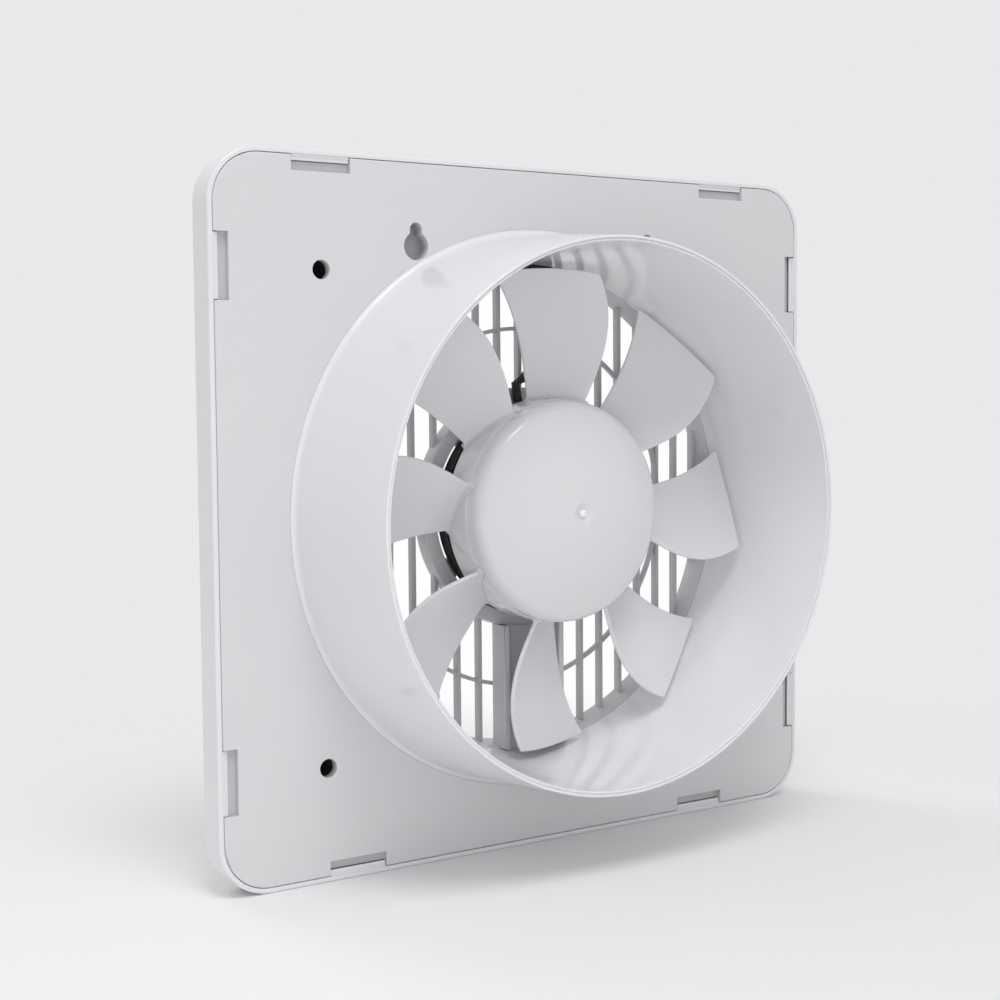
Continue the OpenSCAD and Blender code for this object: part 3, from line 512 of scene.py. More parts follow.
def moulded_plastic(name, shade, roughness, gloss_patch, grain=0.006, edge_r=0.3,
                    subsurface=0.0, sunk=None, wave_size=30, wave_height=0.02):
    """White moulded plastic: faint clouding, uneven gloss, fine grain, shallow waves and soft
    edges. sunk gives two heights on the duct axis, in millimetres, between which its recesses
    are painted darker with depth, as painted shade."""
    finish = Finish(name)
    fine = finish.noise(0.5, detail=4.0, roughness=0.6)
    speck = finish.ramp(finish.noise(1.1, detail=1.0), 0.72, 0.8)
    colour = finish.blend(speck * 0.05, clouded(finish, shade), grey(shade * 0.75, COOL))
    # painted shade: faces sunk below the plate's face are painted darker the deeper they lie,
    # except those facing the room side
    if sunk:
        facing = finish.parts(finish.node("ShaderNodeTexCoord", output="Normal"))[1]
        deep = finish.ramp(finish.parts(finish.place)[1], sunk[0] * MM, sunk[1] * MM)
        mask = deep * finish.ramp(facing, -0.9, -0.5) * 0.8
        colour = finish.blend(mask, colour, grey(shade * 0.5, COOL))
    rough = roughness + gloss_patch * (finish.noise(16, detail=2.0) - 0.5) + 0.04 * (fine - 0.5)
    wave = finish.noise(wave_size, detail=0.0)
    normal = finish.bump(fine, grain, normal=finish.edge(edge_r))
    normal = finish.bump(wave, wave_height, normal=normal)
    return finish.close(colour, rough, normal, constants=depth(subsurface))


def duct_plastic():
    """The duct's glossy plastic: draw marks along the axis, and a fine line near the rim."""
    line_z = 47.4
    finish = Finish("duct_plastic")
    y = finish.parts(finish.place)[1]
    draw = finish.noise(1.0, detail=3.0, place=finish.stretched(0.5, 0.02, 0.5))
    rough = 0.15 + 0.06 * (finish.noise(7, detail=3.0) - 0.5) + 0.05 * (draw - 0.5)
    line = finish.ramp(finish.math("ABSOLUTE", y - line_z * MM), 0.35 * MM, 0.1 * MM)
    normal = finish.bump(1 - line * 0.5, 0.03)
    normal = finish.bump(finish.noise(24, detail=0.0), 0.05, 0.6, normal)
    normal = finish.bump(draw, 0.004, normal=normal)
    return finish.close(clouded(finish, 0.8), rough, normal, constants=depth(0.08))


def black_part(name, shade, roughness, grain_size, grain):
    """Rubber, black plastic or black paint: dust in its grain and soft edges."""
    finish = Finish(name)
    fine = finish.noise(grain_size, detail=4.0, roughness=0.6)
    dust = finish.ramp(finish.noise(6, detail=4.0), 0.45, 0.75)
    colour = finish.blend(dust * 0.35, grey(shade), grey(shade * 2.2, -0.03))
    rough = roughness + 0.15 * (fine - 0.5) + 0.1 * dust
    return finish.close(colour, rough, finish.bump(fine, grain, normal=finish.edge(0.2)))


def metal(name, colour, tint, roughness, streak, grain=0.004):
    """Metal with streaks that run round or along a piece, and duller, tinted patches."""
    finish = Finish(name)
    lines = finish.noise(1.0, detail=3.0, place=finish.stretched(*streak))
    patch = finish.ramp(finish.noise(5, detail=4.0), 0.4, 0.7)
    shade = finish.blend(patch * 0.5, colour, tint)
    rough = roughness + 0.18 * (lines - 0.5) + 0.12 * patch
    normal = finish.bump(lines, grain, normal=finish.edge(0.15))
    return finish.close(shade, rough, normal, metallic=1.0)


def copper_windings():
    """Enamelled wire, wound in turns that run round the axis of the motor, with painted shade
    between the turns.
    """
    wires = 2 * math.pi / (0.42 * MM)
    finish = Finish("copper_windings")
    x, y, z = finish.parts(finish.place)
    turns = finish.math("SINE", (x * x + z * z) ** 0.5 * wires)
    layers = finish.math("SINE", y * wires)
    wire = finish.ramp(turns + layers, -1.2, 1.6)
    # painted shade: the copper is painted dark in the grooves between the turns
    colour = finish.blend(wire, (0.16, 0.045, 0.015, 1), (0.55, 0.2, 0.07, 1))
    rough = 0.3 + 0.1 * finish.noise(2)
    return finish.close(colour, rough, finish.bump(wire, 0.18), metallic=0.75)


def felt_pad():
    """Oiled felt: fibres in every direction."""
    finish = Finish("felt_pad")
    fibres = finish.noise(0.35, detail=6.0, roughness=0.7)
    colour = finish.blend(fibres, (0.3, 0.26, 0.17, 1), (0.62, 0.57, 0.44, 1))
    return finish.close(colour, 0.8 + 0.15 * (fibres - 0.5), finish.bump(fibres, 0.12))


# Geometry trees

class Pattern(Graph):
    """A geometry tree with named inputs. It works on the geometry of the piece that has it."""

    def __init__(self, name, sizes):
        super().__init__(bpy.data.node_groups.new(name, "GeometryNodeTree"))
        self.sizes = sizes
        interface = self.tree.interface
        interface.new_socket("Geometry", in_out="INPUT", socket_type="NodeSocketGeometry")
        interface.new_socket("Geometry", in_out="OUTPUT", socket_type="NodeSocketGeometry")
        kinds = {int: "NodeSocketInt", float: "NodeSocketFloat"}
        for title, value in sizes.items():
            socket = interface.new_socket(title, in_out="INPUT", socket_type=kinds[type(value)])
            socket.default_value = value
        interface.new_socket("Material", in_out="INPUT", socket_type="NodeSocketMaterial")
        self.given = self.tree.nodes.new("NodeGroupInput")

    def size(self, title):
        """One of the named inputs."""
        return Link(self, self.given.outputs[title])

    def joined(self, parts):
        """Several geometries as one."""
        whole = self.node("GeometryNodeJoinGeometry")
        for part in parts:
            self.tree.links.new(part.socket, whole.socket.node.inputs[0])
        return whole

    def close(self, geometry):
        """Ends the tree with plain geometry in the given material."""
        real = self.node("GeometryNodeRealizeInstances", None, {0: geometry})
        made = self.node("GeometryNodeSetMaterial", None,
                         {"Geometry": real, "Material": self.size("Material")})
        self.node("NodeGroupOutput", None, {"Geometry": made})
        return self

    def apply(self, piece, material, changes=None):
        """Runs the tree on a piece, with changed sizes, and keeps the result as its mesh."""
        modifier = piece.modifiers.new(self.tree.name, "NODES")
        modifier.node_group = self.tree
        chosen = {**self.sizes, **(changes or {}), "Material": material}
        for socket in self.tree.interface.items_tree:
            if socket.in_out == "INPUT" and chosen.get(socket.name) is not None:
                modifier[socket.identifier] = chosen[socket.name]
        settle(piece)


def copies_round_axis():
    """Copies of a piece, turned evenly round the axis of the duct."""
    tree = Pattern("copies_round_axis", {"Count": 1, "Spread": 360.0, "First angle": 0.0})
    count = tree.size("Count")
    points = tree.node("GeometryNodeMeshLine", {"mode": "OFFSET"},
                       {"Count": count, "Offset": (0, 0, 0)})
    index = tree.node("GeometryNodeInputIndex")
    turn = (tree.size("First angle") + index * tree.size("Spread") / count) * math.radians(1)
    copies = tree.node("GeometryNodeInstanceOnPoints", None,
                       {"Points": points, "Instance": tree.size("Geometry"),
                        "Rotation": tree.vector(0.0, turn, 0.0)})
    return tree.close(copies)


COPIES_ROUND = copies_round_axis()


def repeat_round(piece, count, first_angle=0.0, spread=360.0, finish=None):
    """Turns a piece into copies of itself round the axis of the duct. Angles are in degrees."""
    COPIES_ROUND.apply(piece, finish, {"Count": count, "Spread": float(spread),
                                       "First angle": float(first_angle)})


def grille_bars():
    """Upright bars with rounded edges, which fill the ring between the cup and the throat."""
    tree = Pattern("grille_bars", {"Bars each side": BARS_EACH_SIDE, "Pitch": BAR_PITCH * MM,
                                   "Throat radius": (THROAT_R + DUCT_WALL / 2) * MM,
                                   "Cup radius": (CUP_R - CUP_WALL / 2) * MM,
                                   "Bar thickness": BAR_T * MM, "Bar depth": BAR_DEPTH * MM,
                                   "Edge radius": 0.35 * MM, "Front": BAR_FRONT_Z * MM})
    side = tree.size("Bars each side")
    pitch = tree.size("Pitch")
    thickness = tree.size("Bar thickness")
    bar_depth = tree.size("Bar depth")
    outline = tree.node("GeometryNodeCurvePrimitiveQuadrilateral", None,
                        {"Width": thickness, "Height": bar_depth})
    outline = tree.node("GeometryNodeFilletCurve", {"mode": "POLY"},
                        {"Curve": outline, "Radius": tree.size("Edge radius"), "Count": 3})
    face = tree.node("GeometryNodeFillCurve", {"mode": "NGONS"}, {0: outline})
    sides = tree.node("GeometryNodeExtrudeMesh", {"mode": "FACES"},
                      {"Mesh": face, "Offset": (0, 0, 1), "Offset Scale": 1.0,
                       "Individual": False})
    back = tree.node("GeometryNodeFlipFaces", None, {"Mesh": face})
    bar = tree.node("GeometryNodeMergeByDistance", None,
                    {"Geometry": tree.joined([sides, back]), "Distance": 1e-6})
    points = tree.node("GeometryNodeMeshLine", {"mode": "OFFSET"},
                       {"Count": side * 2 + 1,
                        "Start Location": tree.vector(0.0 - side * pitch, 0.0, 0.0),
                        "Offset": tree.vector(pitch, 0.0, 0.0)})
    x = tree.parts(tree.node("GeometryNodeInputPosition"))[0]
    far = (tree.size("Throat radius") ** 2 - x * x) ** 0.5
    near = tree.math("MAXIMUM", tree.size("Cup radius") ** 2 - x * x, 0.0) ** 0.5
    middle = tree.size("Front") + bar_depth / 2
    beside_cup = tree.node("FunctionNodeCompare",
                           {"data_type": "FLOAT", "operation": "LESS_THAN"}, {0: near, 1: 1e-6})
    over_cup = tree.node("FunctionNodeBooleanMath", {"operation": "NOT"}, {0: beside_cup})
    runs = [(over_cup, near, far - near), (over_cup, 0.0 - far, far - near),
            (beside_cup, 0.0 - far, far * 2)]
    bars = []
    for chosen, start, length in runs:
        spots = tree.node("GeometryNodeSetPosition", None,
                          {"Geometry": points, "Offset": tree.vector(0.0, middle, start)})
        bars.append(tree.node("GeometryNodeInstanceOnPoints", None,
                              {"Points": spots, "Selection": chosen, "Instance": bar,
                               "Scale": tree.vector(1.0, 1.0, length)}))
    return tree.close(tree.joined(bars))


# Impeller

def blade_middle(s, t):
    """Middle surface of a blade: s runs from hub to tip, t from the trailing edge on."""
    side = 2 * t - 1
    bow = 4 * s * (1 - s)
    middle = BLADE_PHASE + BLADE_SWEEP * s - BLADE_BULGE * bow
    half_angle = ROOT_HALF_ANGLE + (TIP_HALF_ANGLE - ROOT_HALF_ANGLE) * s + MID_SWELL * bow
    half_rise = BLADE_RISE / 2 * (1 - ROOT_RISE_LOSS * (1 - s))
    camber = BLADE_CAMBER * (1 + s) / 2
    z = BLADE_MID_Z - half_rise * side - camber * (1 - side ** 2)
    radius = BLADE_ROOT_R + (BLADE_TIP_R - BLADE_ROOT_R) * s
    return Vector(polar(radius, middle + side * half_angle, z))


def blade_section(radius, inset, swell):
    """The two sides of a blade at a radius, as pairs of points from the trailing edge on."""
    across = 14
    corner_steps = 4
    step = 0.01
    least_half = 0.02
    s = (radius - BLADE_ROOT_R) / (BLADE_TIP_R - BLADE_ROOT_R)
    chord = (blade_middle(s, 1) - blade_middle(s, 0)).length
    turns = [math.radians(90 * k / corner_steps) for k in range(corner_steps)]
    flat = chord - 2 * BLADE_EDGE_R
    corner = [(BLADE_EDGE_R * (1 - math.cos(a)), BLADE_EDGE_R * (1 - math.sin(a))) for a in turns]
    stops = corner + [(BLADE_EDGE_R + flat * k / across, 0.0) for k in range(across + 1)]
    stops += [(chord - along, thin) for along, thin in reversed(corner)]
    pairs = []
    for along, thin in stops:
        t = (inset + along * (chord - 2 * inset) / chord) / chord
        outwards = blade_middle(s + step, t) - blade_middle(s - step, t)
        onwards = blade_middle(s, t + step) - blade_middle(s, t - step)
        normal = outwards.cross(onwards).normalized()
        half = BLADE_HALF_T * (1 - BLADE_THINNING * s) * abs(normal.z) + swell - thin
        reach = normal * max(half, least_half)
        middle = blade_middle(s, t)
        pairs.append((middle + reach, middle - reach))
    return pairs


def blade_stations():
    """Radius, inset of the two edges and extra half thickness, from inside the hub wall out."""
    start = HUB_R + BLADE_FILLET
    end = BLADE_TIP_R - BLADE_CORNER_R
    stations = [(BLADE_ROOT_R, -BLADE_FILLET, BLADE_FILLET)]
    fillet_steps = 6
    for k in range(fillet_steps + 1):
        a = math.radians(90 * k / fillet_steps)
        swell = BLADE_FILLET * (1 - math.sin(a))
        stations.append((HUB_R + BLADE_FILLET * (1 - math.cos(a)), -swell, swell))
    steps = 18
    stations += [(start + (end - start) * k / steps, 0, 0) for k in range(1, steps)]
    for left in (BLADE_CORNER_R, 0.55, BLADE_EDGE_R, 0.3, 0.2, 0.11, 0.04, 0.0):
        inset = BLADE_CORNER_R - math.sqrt(BLADE_CORNER_R ** 2 - (BLADE_CORNER_R - left) ** 2)
        short = max(BLADE_EDGE_R - left, 0)
        thin = BLADE_EDGE_R - math.sqrt(BLADE_EDGE_R ** 2 - short ** 2)
        stations.append((BLADE_TIP_R - left, inset + thin, -thin))
    return stations


def blade():
    """One blade, with rounded edges, round tip corners and a fillet at its root."""
    bm = bmesh.new()
    rows = []
    for station in blade_stations():
        pairs = blade_section(*station)
        above = [bm.verts.new(stand(*high)) for high, low in pairs]
        below = [bm.verts.new(stand(*low)) for high, low in pairs]
        rows.append(above + below[::-1])
    count = len(rows[0])
    for near, far in zip(rows, rows[1:]):
        for k in range(count):
            bm.faces.new([near[k - 1], near[k], far[k], far[k - 1]])
    for row in (rows[0], rows[-1]):
        for k in range(count // 2 - 1):
            bm.faces.new([row[k], row[k + 1], row[count - 2 - k], row[count - 1 - k]])
    return finish_mesh("blade", bm)


def dome(sunk, steps):
    """Shoulder and domed end of the hub, from its side wall to the axis, sunk by so much."""
    centre_z = HUB_TOP_Z - HUB_DOME_R
    wall_r = HUB_R - HUB_STEP
    shoulder_r = wall_r - HUB_SHOULDER
    shoulder_z = centre_z + math.sqrt((HUB_DOME_R - HUB_SHOULDER) ** 2 - shoulder_r ** 2)
    meet = math.degrees(math.atan2(shoulder_z - centre_z, shoulder_r))
    line = arc(shoulder_r, shoulder_z, HUB_SHOULDER - sunk, 0, meet, 10)
    return line + arc(0, centre_z, HUB_DOME_R - sunk, meet, 90, steps)[1:]


def hub():
    """A deep cup with a step in its wall, and a dimple in the middle of its domed end."""
    edge = 0.3
    nick = 0.1
    top = HUB_TOP_Z
    floor_z = top - DIMPLE_DEPTH
    line = [(HUB_R - HUB_WALL + edge, HUB_REAR_Z), (HUB_R - edge, HUB_REAR_Z),
            (HUB_R, HUB_REAR_Z + edge), (HUB_R, HUB_STEP_Z - nick),
            (HUB_R - nick, HUB_STEP_Z + nick), (HUB_R - HUB_STEP, HUB_STEP_Z + HUB_STEP)]
    line += [point for point in dome(0, 26) if point[0] > DIMPLE_R + 0.6]
    line += rounded([(DIMPLE_R + 0.5, top - 0.1, 0), (DIMPLE_R, top - 0.11, 0.6),
                     (GATE_R - 0.1, floor_z, 0), (0.0, floor_z, 0)])
    line += reversed(dome(HUB_WALL, 12))
    line.append((HUB_R - HUB_WALL, HUB_REAR_Z + edge))
    return revolve("hub", line)


def gate_scar():
    """The nub in the dimple, where the plastic ran into the mould, with a pit in its end."""
    top = HUB_TOP_Z
    return revolve("gate_scar", rounded([
        (0.0, top - 2.0, 0), (GATE_R, top - 2.0, 0), (GATE_R, top, 0.45), (0.4, top, 0.15),
        (0.25, top - 0.5, 0.1), (0.0, top - 0.5, 0)]), 64)


def impeller():
    """Hub, blades, shaft boss and the scar of the gate in one piece."""
    plastic = moulded_plastic("impeller_plastic", shade=0.735, roughness=0.1, gloss_patch=0.03,
                              grain=0.001, subsurface=0.15, wave_size=14, wave_height=0.22)
    blades = blade()
    repeat_round(blades, BLADE_COUNT, finish=plastic)
    hole_r = SHAFT_R + 0.02
    boss = revolve("boss", rounded([(hole_r, BOSS_REAR_Z, 0), (BOSS_R, BOSS_REAR_Z, 0.4),
                                    (BOSS_R, BOSS_FRONT_Z, 0), (hole_r, BOSS_FRONT_Z, 0)]), 64)
    cup = hub()
    scar = gate_scar()
    paint(cup, plastic)
    paint(boss, plastic)
    # painted highlight: the gate's nub is painted much lighter than the hub
    paint(scar, moulded_plastic("sheared_plastic", shade=0.95, roughness=0.2, gloss_patch=0.02,
                                grain=0.001))
    whole = join("impeller_moulding", [cup, blades, boss, scar])
    dress(whole, "rotor", "impeller")


# Duct and cover

def outer_r(z):
    """Radius of the outside of the duct at a height."""
    return DUCT_BASE_R + (DUCT_RIM_R - DUCT_BASE_R) * z / DUCT_LEN


def bore_r(z):
    """Radius of the bore of the duct at a height."""
    rim = DUCT_RIM_R - DUCT_WALL
    return SLEEVE_BORE_R + (rim - SLEEVE_BORE_R) * (z - SEAT_Z) / (DUCT_LEN - SEAT_Z)


def duct(plastic):
    """The double wall of the duct, its stepped rim, and the ribs between its walls."""
    ledge = DUCT_LEN - RIM_STEP
    groove = DUCT_RIM_R - 1.12
    groove_z = ledge - 0.3
    base = DUCT_BASE_R + ROOT_FILLET
    inner_wall = bore_r(DUCT_RIB_END) + DUCT_WALL
    outline = rounded([(SLEEVE_BORE_R, SEAT_Z, 0.2), (bore_r(ledge), ledge, 0.25),
                       (groove, ledge, 0.12), (groove + 0.06, groove_z, 0.05),
                       (groove + 0.22, groove_z, 0.05), (groove + 0.27, DUCT_LEN, 0.22),
                       (DUCT_RIM_R, DUCT_LEN, 0.3), (outer_r(ROOT_FILLET), ROOT_FILLET, 0)])
    outline += arc(base, ROOT_FILLET, ROOT_FILLET, 180, 270, 8)[1:]
    outline += rounded([(base, -PLATE_T, 0), (DUCT_BASE_R - DUCT_WALL, -PLATE_T, 0.3),
                        (outer_r(DUCT_RIB_END) - DUCT_WALL, DUCT_RIB_END, 0.4),
                        (inner_wall, DUCT_RIB_END, 0.4),
                        (SLEEVE_BORE_R + DUCT_WALL, SEAT_Z, 0.3)])
    walls = revolve("walls", outline, 256)
    low = 0.6 - PLATE_T
    high = DUCT_RIB_END + 0.05
    inside = DUCT_WALL / 2
    side = [(bore_r(low) + inside, low), (DUCT_BASE_R - inside, low),
            (outer_r(high) - inside, high), (bore_r(high) + inside, high)]
    rib = prism("rib", side, -DUCT_RIB_T / 2, DUCT_RIB_T / 2, stand_side)
    repeat_round(rib, DUCT_RIB_COUNT, first_angle=180 / DUCT_RIB_COUNT)
    for piece in (walls, rib):
        paint(piece, plastic)
    dress(join("duct_moulding", [walls, rib]), "frame", "duct")


def pane(name, profile, width, height, corner):
    """A solid whose section runs round a rounded rectangle. The section is (distance from the
    centre of the corner, height) points, and flat faces close it at its two ends."""
    steps = 16
    bm = bmesh.new()
    loops = []
    for reach, z in profile:
        loop = []
        for quarter, (side, end) in enumerate(((1, 1), (-1, 1), (-1, -1), (1, -1))):
            for k in range(steps + 1):
                x, y, _ = polar(reach, 90 * (quarter + k / steps))
                loop.append(bm.verts.new(stand(side * (width / 2 - corner) + x,
                                               end * (height / 2 - corner) + y, z)))
        loops.append(loop)
    for low, high in zip(loops, loops[1:]):
        for k in range(len(low)):
            bm.faces.new([low[k - 1], low[k], high[k], high[k - 1]])
    bm.faces.new(loops[0])
    bm.faces.new(loops[-1])
    return finish_mesh(name, bm)


def clips():
    """A place for each clip: the middle of its notch on the cover's edge, and its direction."""
    return ([(s * TOP_NOTCH_X, COVER_H / 2, 90) for s in (-1, 1)]
            + [(s * BOTTOM_NOTCH_X, -COVER_H / 2, 270) for s in (-1, 1)]
            + [(COVER_W / 2, s * SIDE_NOTCH_Y, 0) for s in (-1, 1)]
            + [(-COVER_W / 2, s * SIDE_NOTCH_Y, 180) for s in (-1, 1)])


def clip_frame(x, y, turn):
    """The put of a prism at a clip, whose section (distance out, height) runs along the edge."""
    out, across, _ = polar(1, turn)
    return lambda reach, z, along: stand(x + reach * out - along * across,
                                         y + reach * across + along * out, z)


def front_cover(plastic):
    """The cover: a shallow tray with a round hole, and a hook for each notch of the plate."""
    inner = COVER_CORNER - COVER_WALL - LIP_SWELL
    start = COVER_CORNER - FACE_ROUND
    floor_z = COVER_WALL - COVER_DEPTH
    bend_z = FACE_ROUND - COVER_DEPTH
    bend = FACE_ROUND - COVER_WALL
    profile = [(start, floor_z)] + arc(start, bend_z, bend, -90, 0, 8)[1:]
    profile += arc(inner + 0.3, -0.3, 0.3, 180, 90, 3)
    profile += arc(COVER_CORNER - LIP_ROUND, -LIP_ROUND, LIP_ROUND, 90, 0, 6)
    profile += arc(start, bend_z, FACE_ROUND, 0, -90, 12)
    tray = pane("cover", profile, COVER_W, COVER_H, COVER_CORNER)
    circle = [polar(COVER_HOLE_R, 360 * k / 256)[:2] for k in range(256)]
    cut(tray, prism("hole", circle, -COVER_DEPTH - 1, floor_z + 1))
    soften(tray, 0.4, segments=3)
    root = -COVER_WALL
    front = root - HOOK_T
    barb = root - BARB_REACH
    foot_z = floor_z - 0.05
    section = rounded([(root, foot_z, 0), (root, HOOK_END_Z, 0.2), (front, HOOK_END_Z, 0.3),
                       (front, -0.75, 0.05), (barb, -0.95, 0.2), (barb, -1.4, 0.2),
                       (front, -2.4, 0.1), (front, foot_z, 0)])
    half = NOTCH_LEN / 2 - SEAM
    pieces = [tray] + [prism("hook", section, -half, half, clip_frame(*clip)) for clip in clips()]
    for piece in pieces:
        paint(piece, plastic)
    dress(join("cover_moulding", pieces), "cover", "front_cover")


# Guard

def box(name, low, high):
    """A block between two corners of the duct axis frame."""
    outline = [(low[0], low[1]), (high[0], low[1]), (high[0], high[1]), (low[0], high[1])]
    return prism(name, outline, low[2], high[2])


def grommet_seat(piece):
    """Cuts the seat of the lead's grommet out of a piece."""
    for width, thickness, start, end in (
            (GROMMET_NECK_W, GROMMET_NECK_T, GROMMET_IN_Y + 2.1, SLEEVE_SEAT_R + 4),
            (GROMMET_W, GROMMET_T, GROMMET_IN_Y, THROAT_R - 0.6)):
        low = (GROMMET_X - width / 2, start, GROMMET_Z - thickness / 2)
        cut(piece, box("seat", low, (GROMMET_X + width / 2, end, GROMMET_Z + thickness / 2)))


def guard_bars(plastic):
    """The upright bars, and the thin ring that ties them."""
    bars = add("bars", bpy.data.meshes.new("bars"))
    grille_bars().apply(bars, plastic)
    grommet_seat(bars)
    edge_r = 0.4
    inside = RIB_RING_R - RIB_RING_T / 2
    outside = RIB_RING_R + RIB_RING_T / 2
    low = BAR_FRONT_Z + 0.4
    high = BAR_FRONT_Z + BAR_DEPTH - 0.5
    rib = revolve("rib", rounded([(inside, low, edge_r), (outside, low, edge_r),
                                  (outside, high, edge_r), (inside, high, edge_r)]))
    paint(rib, plastic)
    return [bars, rib]


def screw_hole(place_r, screw_d, low, high):
    """A cutter for the hole of a screw, at a distance from the axis of the duct."""
    outline = arc(place_r, 0, screw_d / 2 + SCREW_GAP, 0, 345, 23)
    return prism("hole", outline, low - 1, high + 1)


def motor_cup():
    """The cup of the motor, with arc vents, a slot and a notch for the lead, and screw holes."""
    inner = CUP_R - CUP_WALL
    floor_top = CUP_FLOOR_Z + CUP_WALL
    cup = revolve("cup", rounded([(0, CUP_FLOOR_Z, 0), (inner, CUP_FLOOR_Z, 0.3),
                                  (inner, GUARD_FRONT_Z, 0.4), (CUP_R, GUARD_FRONT_Z, 0.6),
                                  (CUP_R, CUP_TOP_Z, 0.4), (CUP_LIP_R, CUP_TOP_Z, 0.4),
                                  (CUP_LIP_R, CUP_TOP_Z - CUP_LIP_T, 0.3),
                                  (inner, CUP_TOP_Z - CUP_LIP_T, 0.3), (inner, floor_top, 0.6),
                                  (0, floor_top, 0)]), closed=False)
    step = 360 / VENT_COUNT
    vents = []
    for width, top, outer in ((step - VENT_BRIDGE, floor_top, VENT_OUTER_R - 1),
                              (LEAD_SLOT_ANGLE, CUP_TOP_Z, VENT_OUTER_R)):
        outline = arc(0, 0, outer, 0, width, 14) + arc(0, 0, VENT_INNER_R, width, 0, 14)
        vents.append(prism("vent", outline, CUP_FLOOR_Z - 1, top + 1))
    repeat_round(vents[0], VENT_COUNT - 1, LEAD_ANGLE + step, spread=step * (VENT_COUNT - 1))
    repeat_round(vents[1], 1, LEAD_ANGLE)
    hole = screw_hole(MOUNT_SCREW_R, MOUNT_SCREW_D, CUP_FLOOR_Z, floor_top)
    repeat_round(hole, MOUNT_SCREW_COUNT, MOUNT_SCREW_TURN)
    half = LEAD_D / 2 + 0.5
    notch = box("notch", (CUP_LIP_R - 1, LEAD_SIDE - half, CUP_TOP_Z - 3),
                (CUP_R + 1, LEAD_SIDE + half, CUP_TOP_Z + 2))
    repeat_round(notch, 1, LEAD_ANGLE)
    for cutter in vents + [hole, notch]:
        cut(cup, cutter)
    soften(cup, 0.25)
    return cup


def support_arm():
    """The trough that ties the cup to the foot of the sleeve, behind the bars."""
    outer = ARM_W / 2
    inner = outer - ARM_WALL
    foot = BAR_FRONT_Z + BAR_DEPTH
    top = ARM_FLOOR_Z + ARM_FLOOR_T
    half = [(inner, ARM_FLOOR_Z, 0.5), (inner, foot, 0.3), (outer, foot, 0.3),
            (outer, ARM_TOP_Z, 0.5), (inner, ARM_TOP_Z, 0.5), (inner, top, 0.8)]
    section = rounded(half + [(-x, z, r) for x, z, r in reversed(half)])
    arm = prism("arm", section, -SLEEVE_BORE_R - 3, -CUP_R + CUP_WALL, stand_side, smooth=True)
    inside = CUP_R - CUP_WALL / 2
    bore = SLEEVE_BORE_R - 0.2
    reach = revolve("reach", [(inside, GUARD_FRONT_Z), (THROAT_R + DUCT_WALL / 2, GUARD_FRONT_Z),
                              (SLEEVE_BORE_R + DUCT_WALL / 2, SEAT_Z), (bore, SEAT_Z), (bore, 0),
                              (inside, 0)])
    cut(arm, reach, "INTERSECT")
    return arm


def guard_lugs():
    """The four ears with which the guard is screwed to the plate."""
    r = LUG_W / 2
    side = math.degrees(math.asin(LUG_NECK_W / LUG_W))
    outline = arc(LUG_R, 0, r, side - 180, 180 - side, 30)
    outline += [(SLEEVE_BORE_R + 0.2, y) for y in (LUG_NECK_W / 2, -LUG_NECK_W / 2)]
    lug = prism("lug", outline, LUG_Z - LUG_T, LUG_Z)
    cut(lug, screw_hole(LUG_R, SCREW_D, LUG_Z - LUG_T, LUG_Z))
    soften(lug, 0.3)
    repeat_round(lug, LUG_COUNT, LUG_TURN)
    return lug


def guard():
    """Bars, cup, arm, sleeve and ears, in one moulding."""
    # The bars, cup, arm, sleeve and ears are one white plastic. These finishes are shaded copies
    # of it, painted darker than the duct's plastic and the bars darkest, as painted shade inside
    # the duct.
    shaded_bar_plastic = moulded_plastic("guard_plastic", shade=0.5, roughness=0.24, gloss_patch=0.08,
                                  edge_r=0.1)
    cup_plastic = moulded_plastic("cup_plastic", shade=0.66, roughness=0.14, gloss_patch=0.05,
                                  grain=0.002, edge_r=0.1)
    throat_plastic = moulded_plastic("throat_plastic", shade=0.66, roughness=0.09,
                                     gloss_patch=0.05, grain=0.002, edge_r=0.1,
                                     wave_size=9, wave_height=0.4)
    edge_r = 0.35
    sleeve = revolve("sleeve", rounded([
        (THROAT_R, GUARD_FRONT_Z, edge_r), (SLEEVE_FRONT_R, GUARD_FRONT_Z, edge_r),
        (SLEEVE_SEAT_R, SEAT_Z, edge_r), (SLEEVE_BORE_R, SEAT_Z, edge_r)]))
    grommet_seat(sleeve)
    cup = motor_cup()
    arm = support_arm()
    lugs = guard_lugs()
    for piece, plastic in ((cup, cup_plastic), (arm, cup_plastic), (sleeve, throat_plastic),
                           (lugs, throat_plastic)):
        paint(piece, plastic)
    whole = join("guard_moulding", guard_bars(shaded_bar_plastic) + [sleeve, cup, arm, lugs])
    dress(whole, "frame", "motor_guard")


# Screws

def cross_head_screws(name, node, shank_r, head_r, head_h, head_z, tip_z, count, place_r,
                      first_angle):
    """Pan head screws with a cross recess, evenly round the axis of the duct."""
    low = head_z - head_h
    outline = rounded([(0, tip_z, 0), (shank_r * 0.35, tip_z, 0), (shank_r, tip_z - 2, 0.2),
                       (shank_r, head_z, 0), (head_r, head_z, 0.12),
                       (head_r, low + head_h * 0.45, head_h * 0.3),
                       (head_r * 0.72, low, head_h * 0.5), (0, low, 0)])
    screw = revolve(name, outline, 48, closed=False)
    arm = head_r * 0.62
    half = head_r * 0.32 / SCREW_HEAD_R
    slot = [(-arm, -half), (arm, -half), (arm, half), (-arm, half)]
    for groove in (slot, [(-y, x) for x, y in slot]):
        cut(screw, prism("recess", groove, low - 0.5, low + head_h * 0.6))
    soften(screw, 0.06, segments=1)
    screw.data.transform(Matrix.Translation(stand(place_r, 0, 0)))
    repeat_round(screw, count, first_angle, finish=ZINC)
    dress(screw, "frame", node)


impeller()
guard()
duct(duct_plastic())
front_cover(moulded_plastic("cover_plastic", shade=0.78, roughness=0.24, gloss_patch=0.03,
                            grain=0.004, edge_r=0.2))


# Nodes of the model that keep their shape

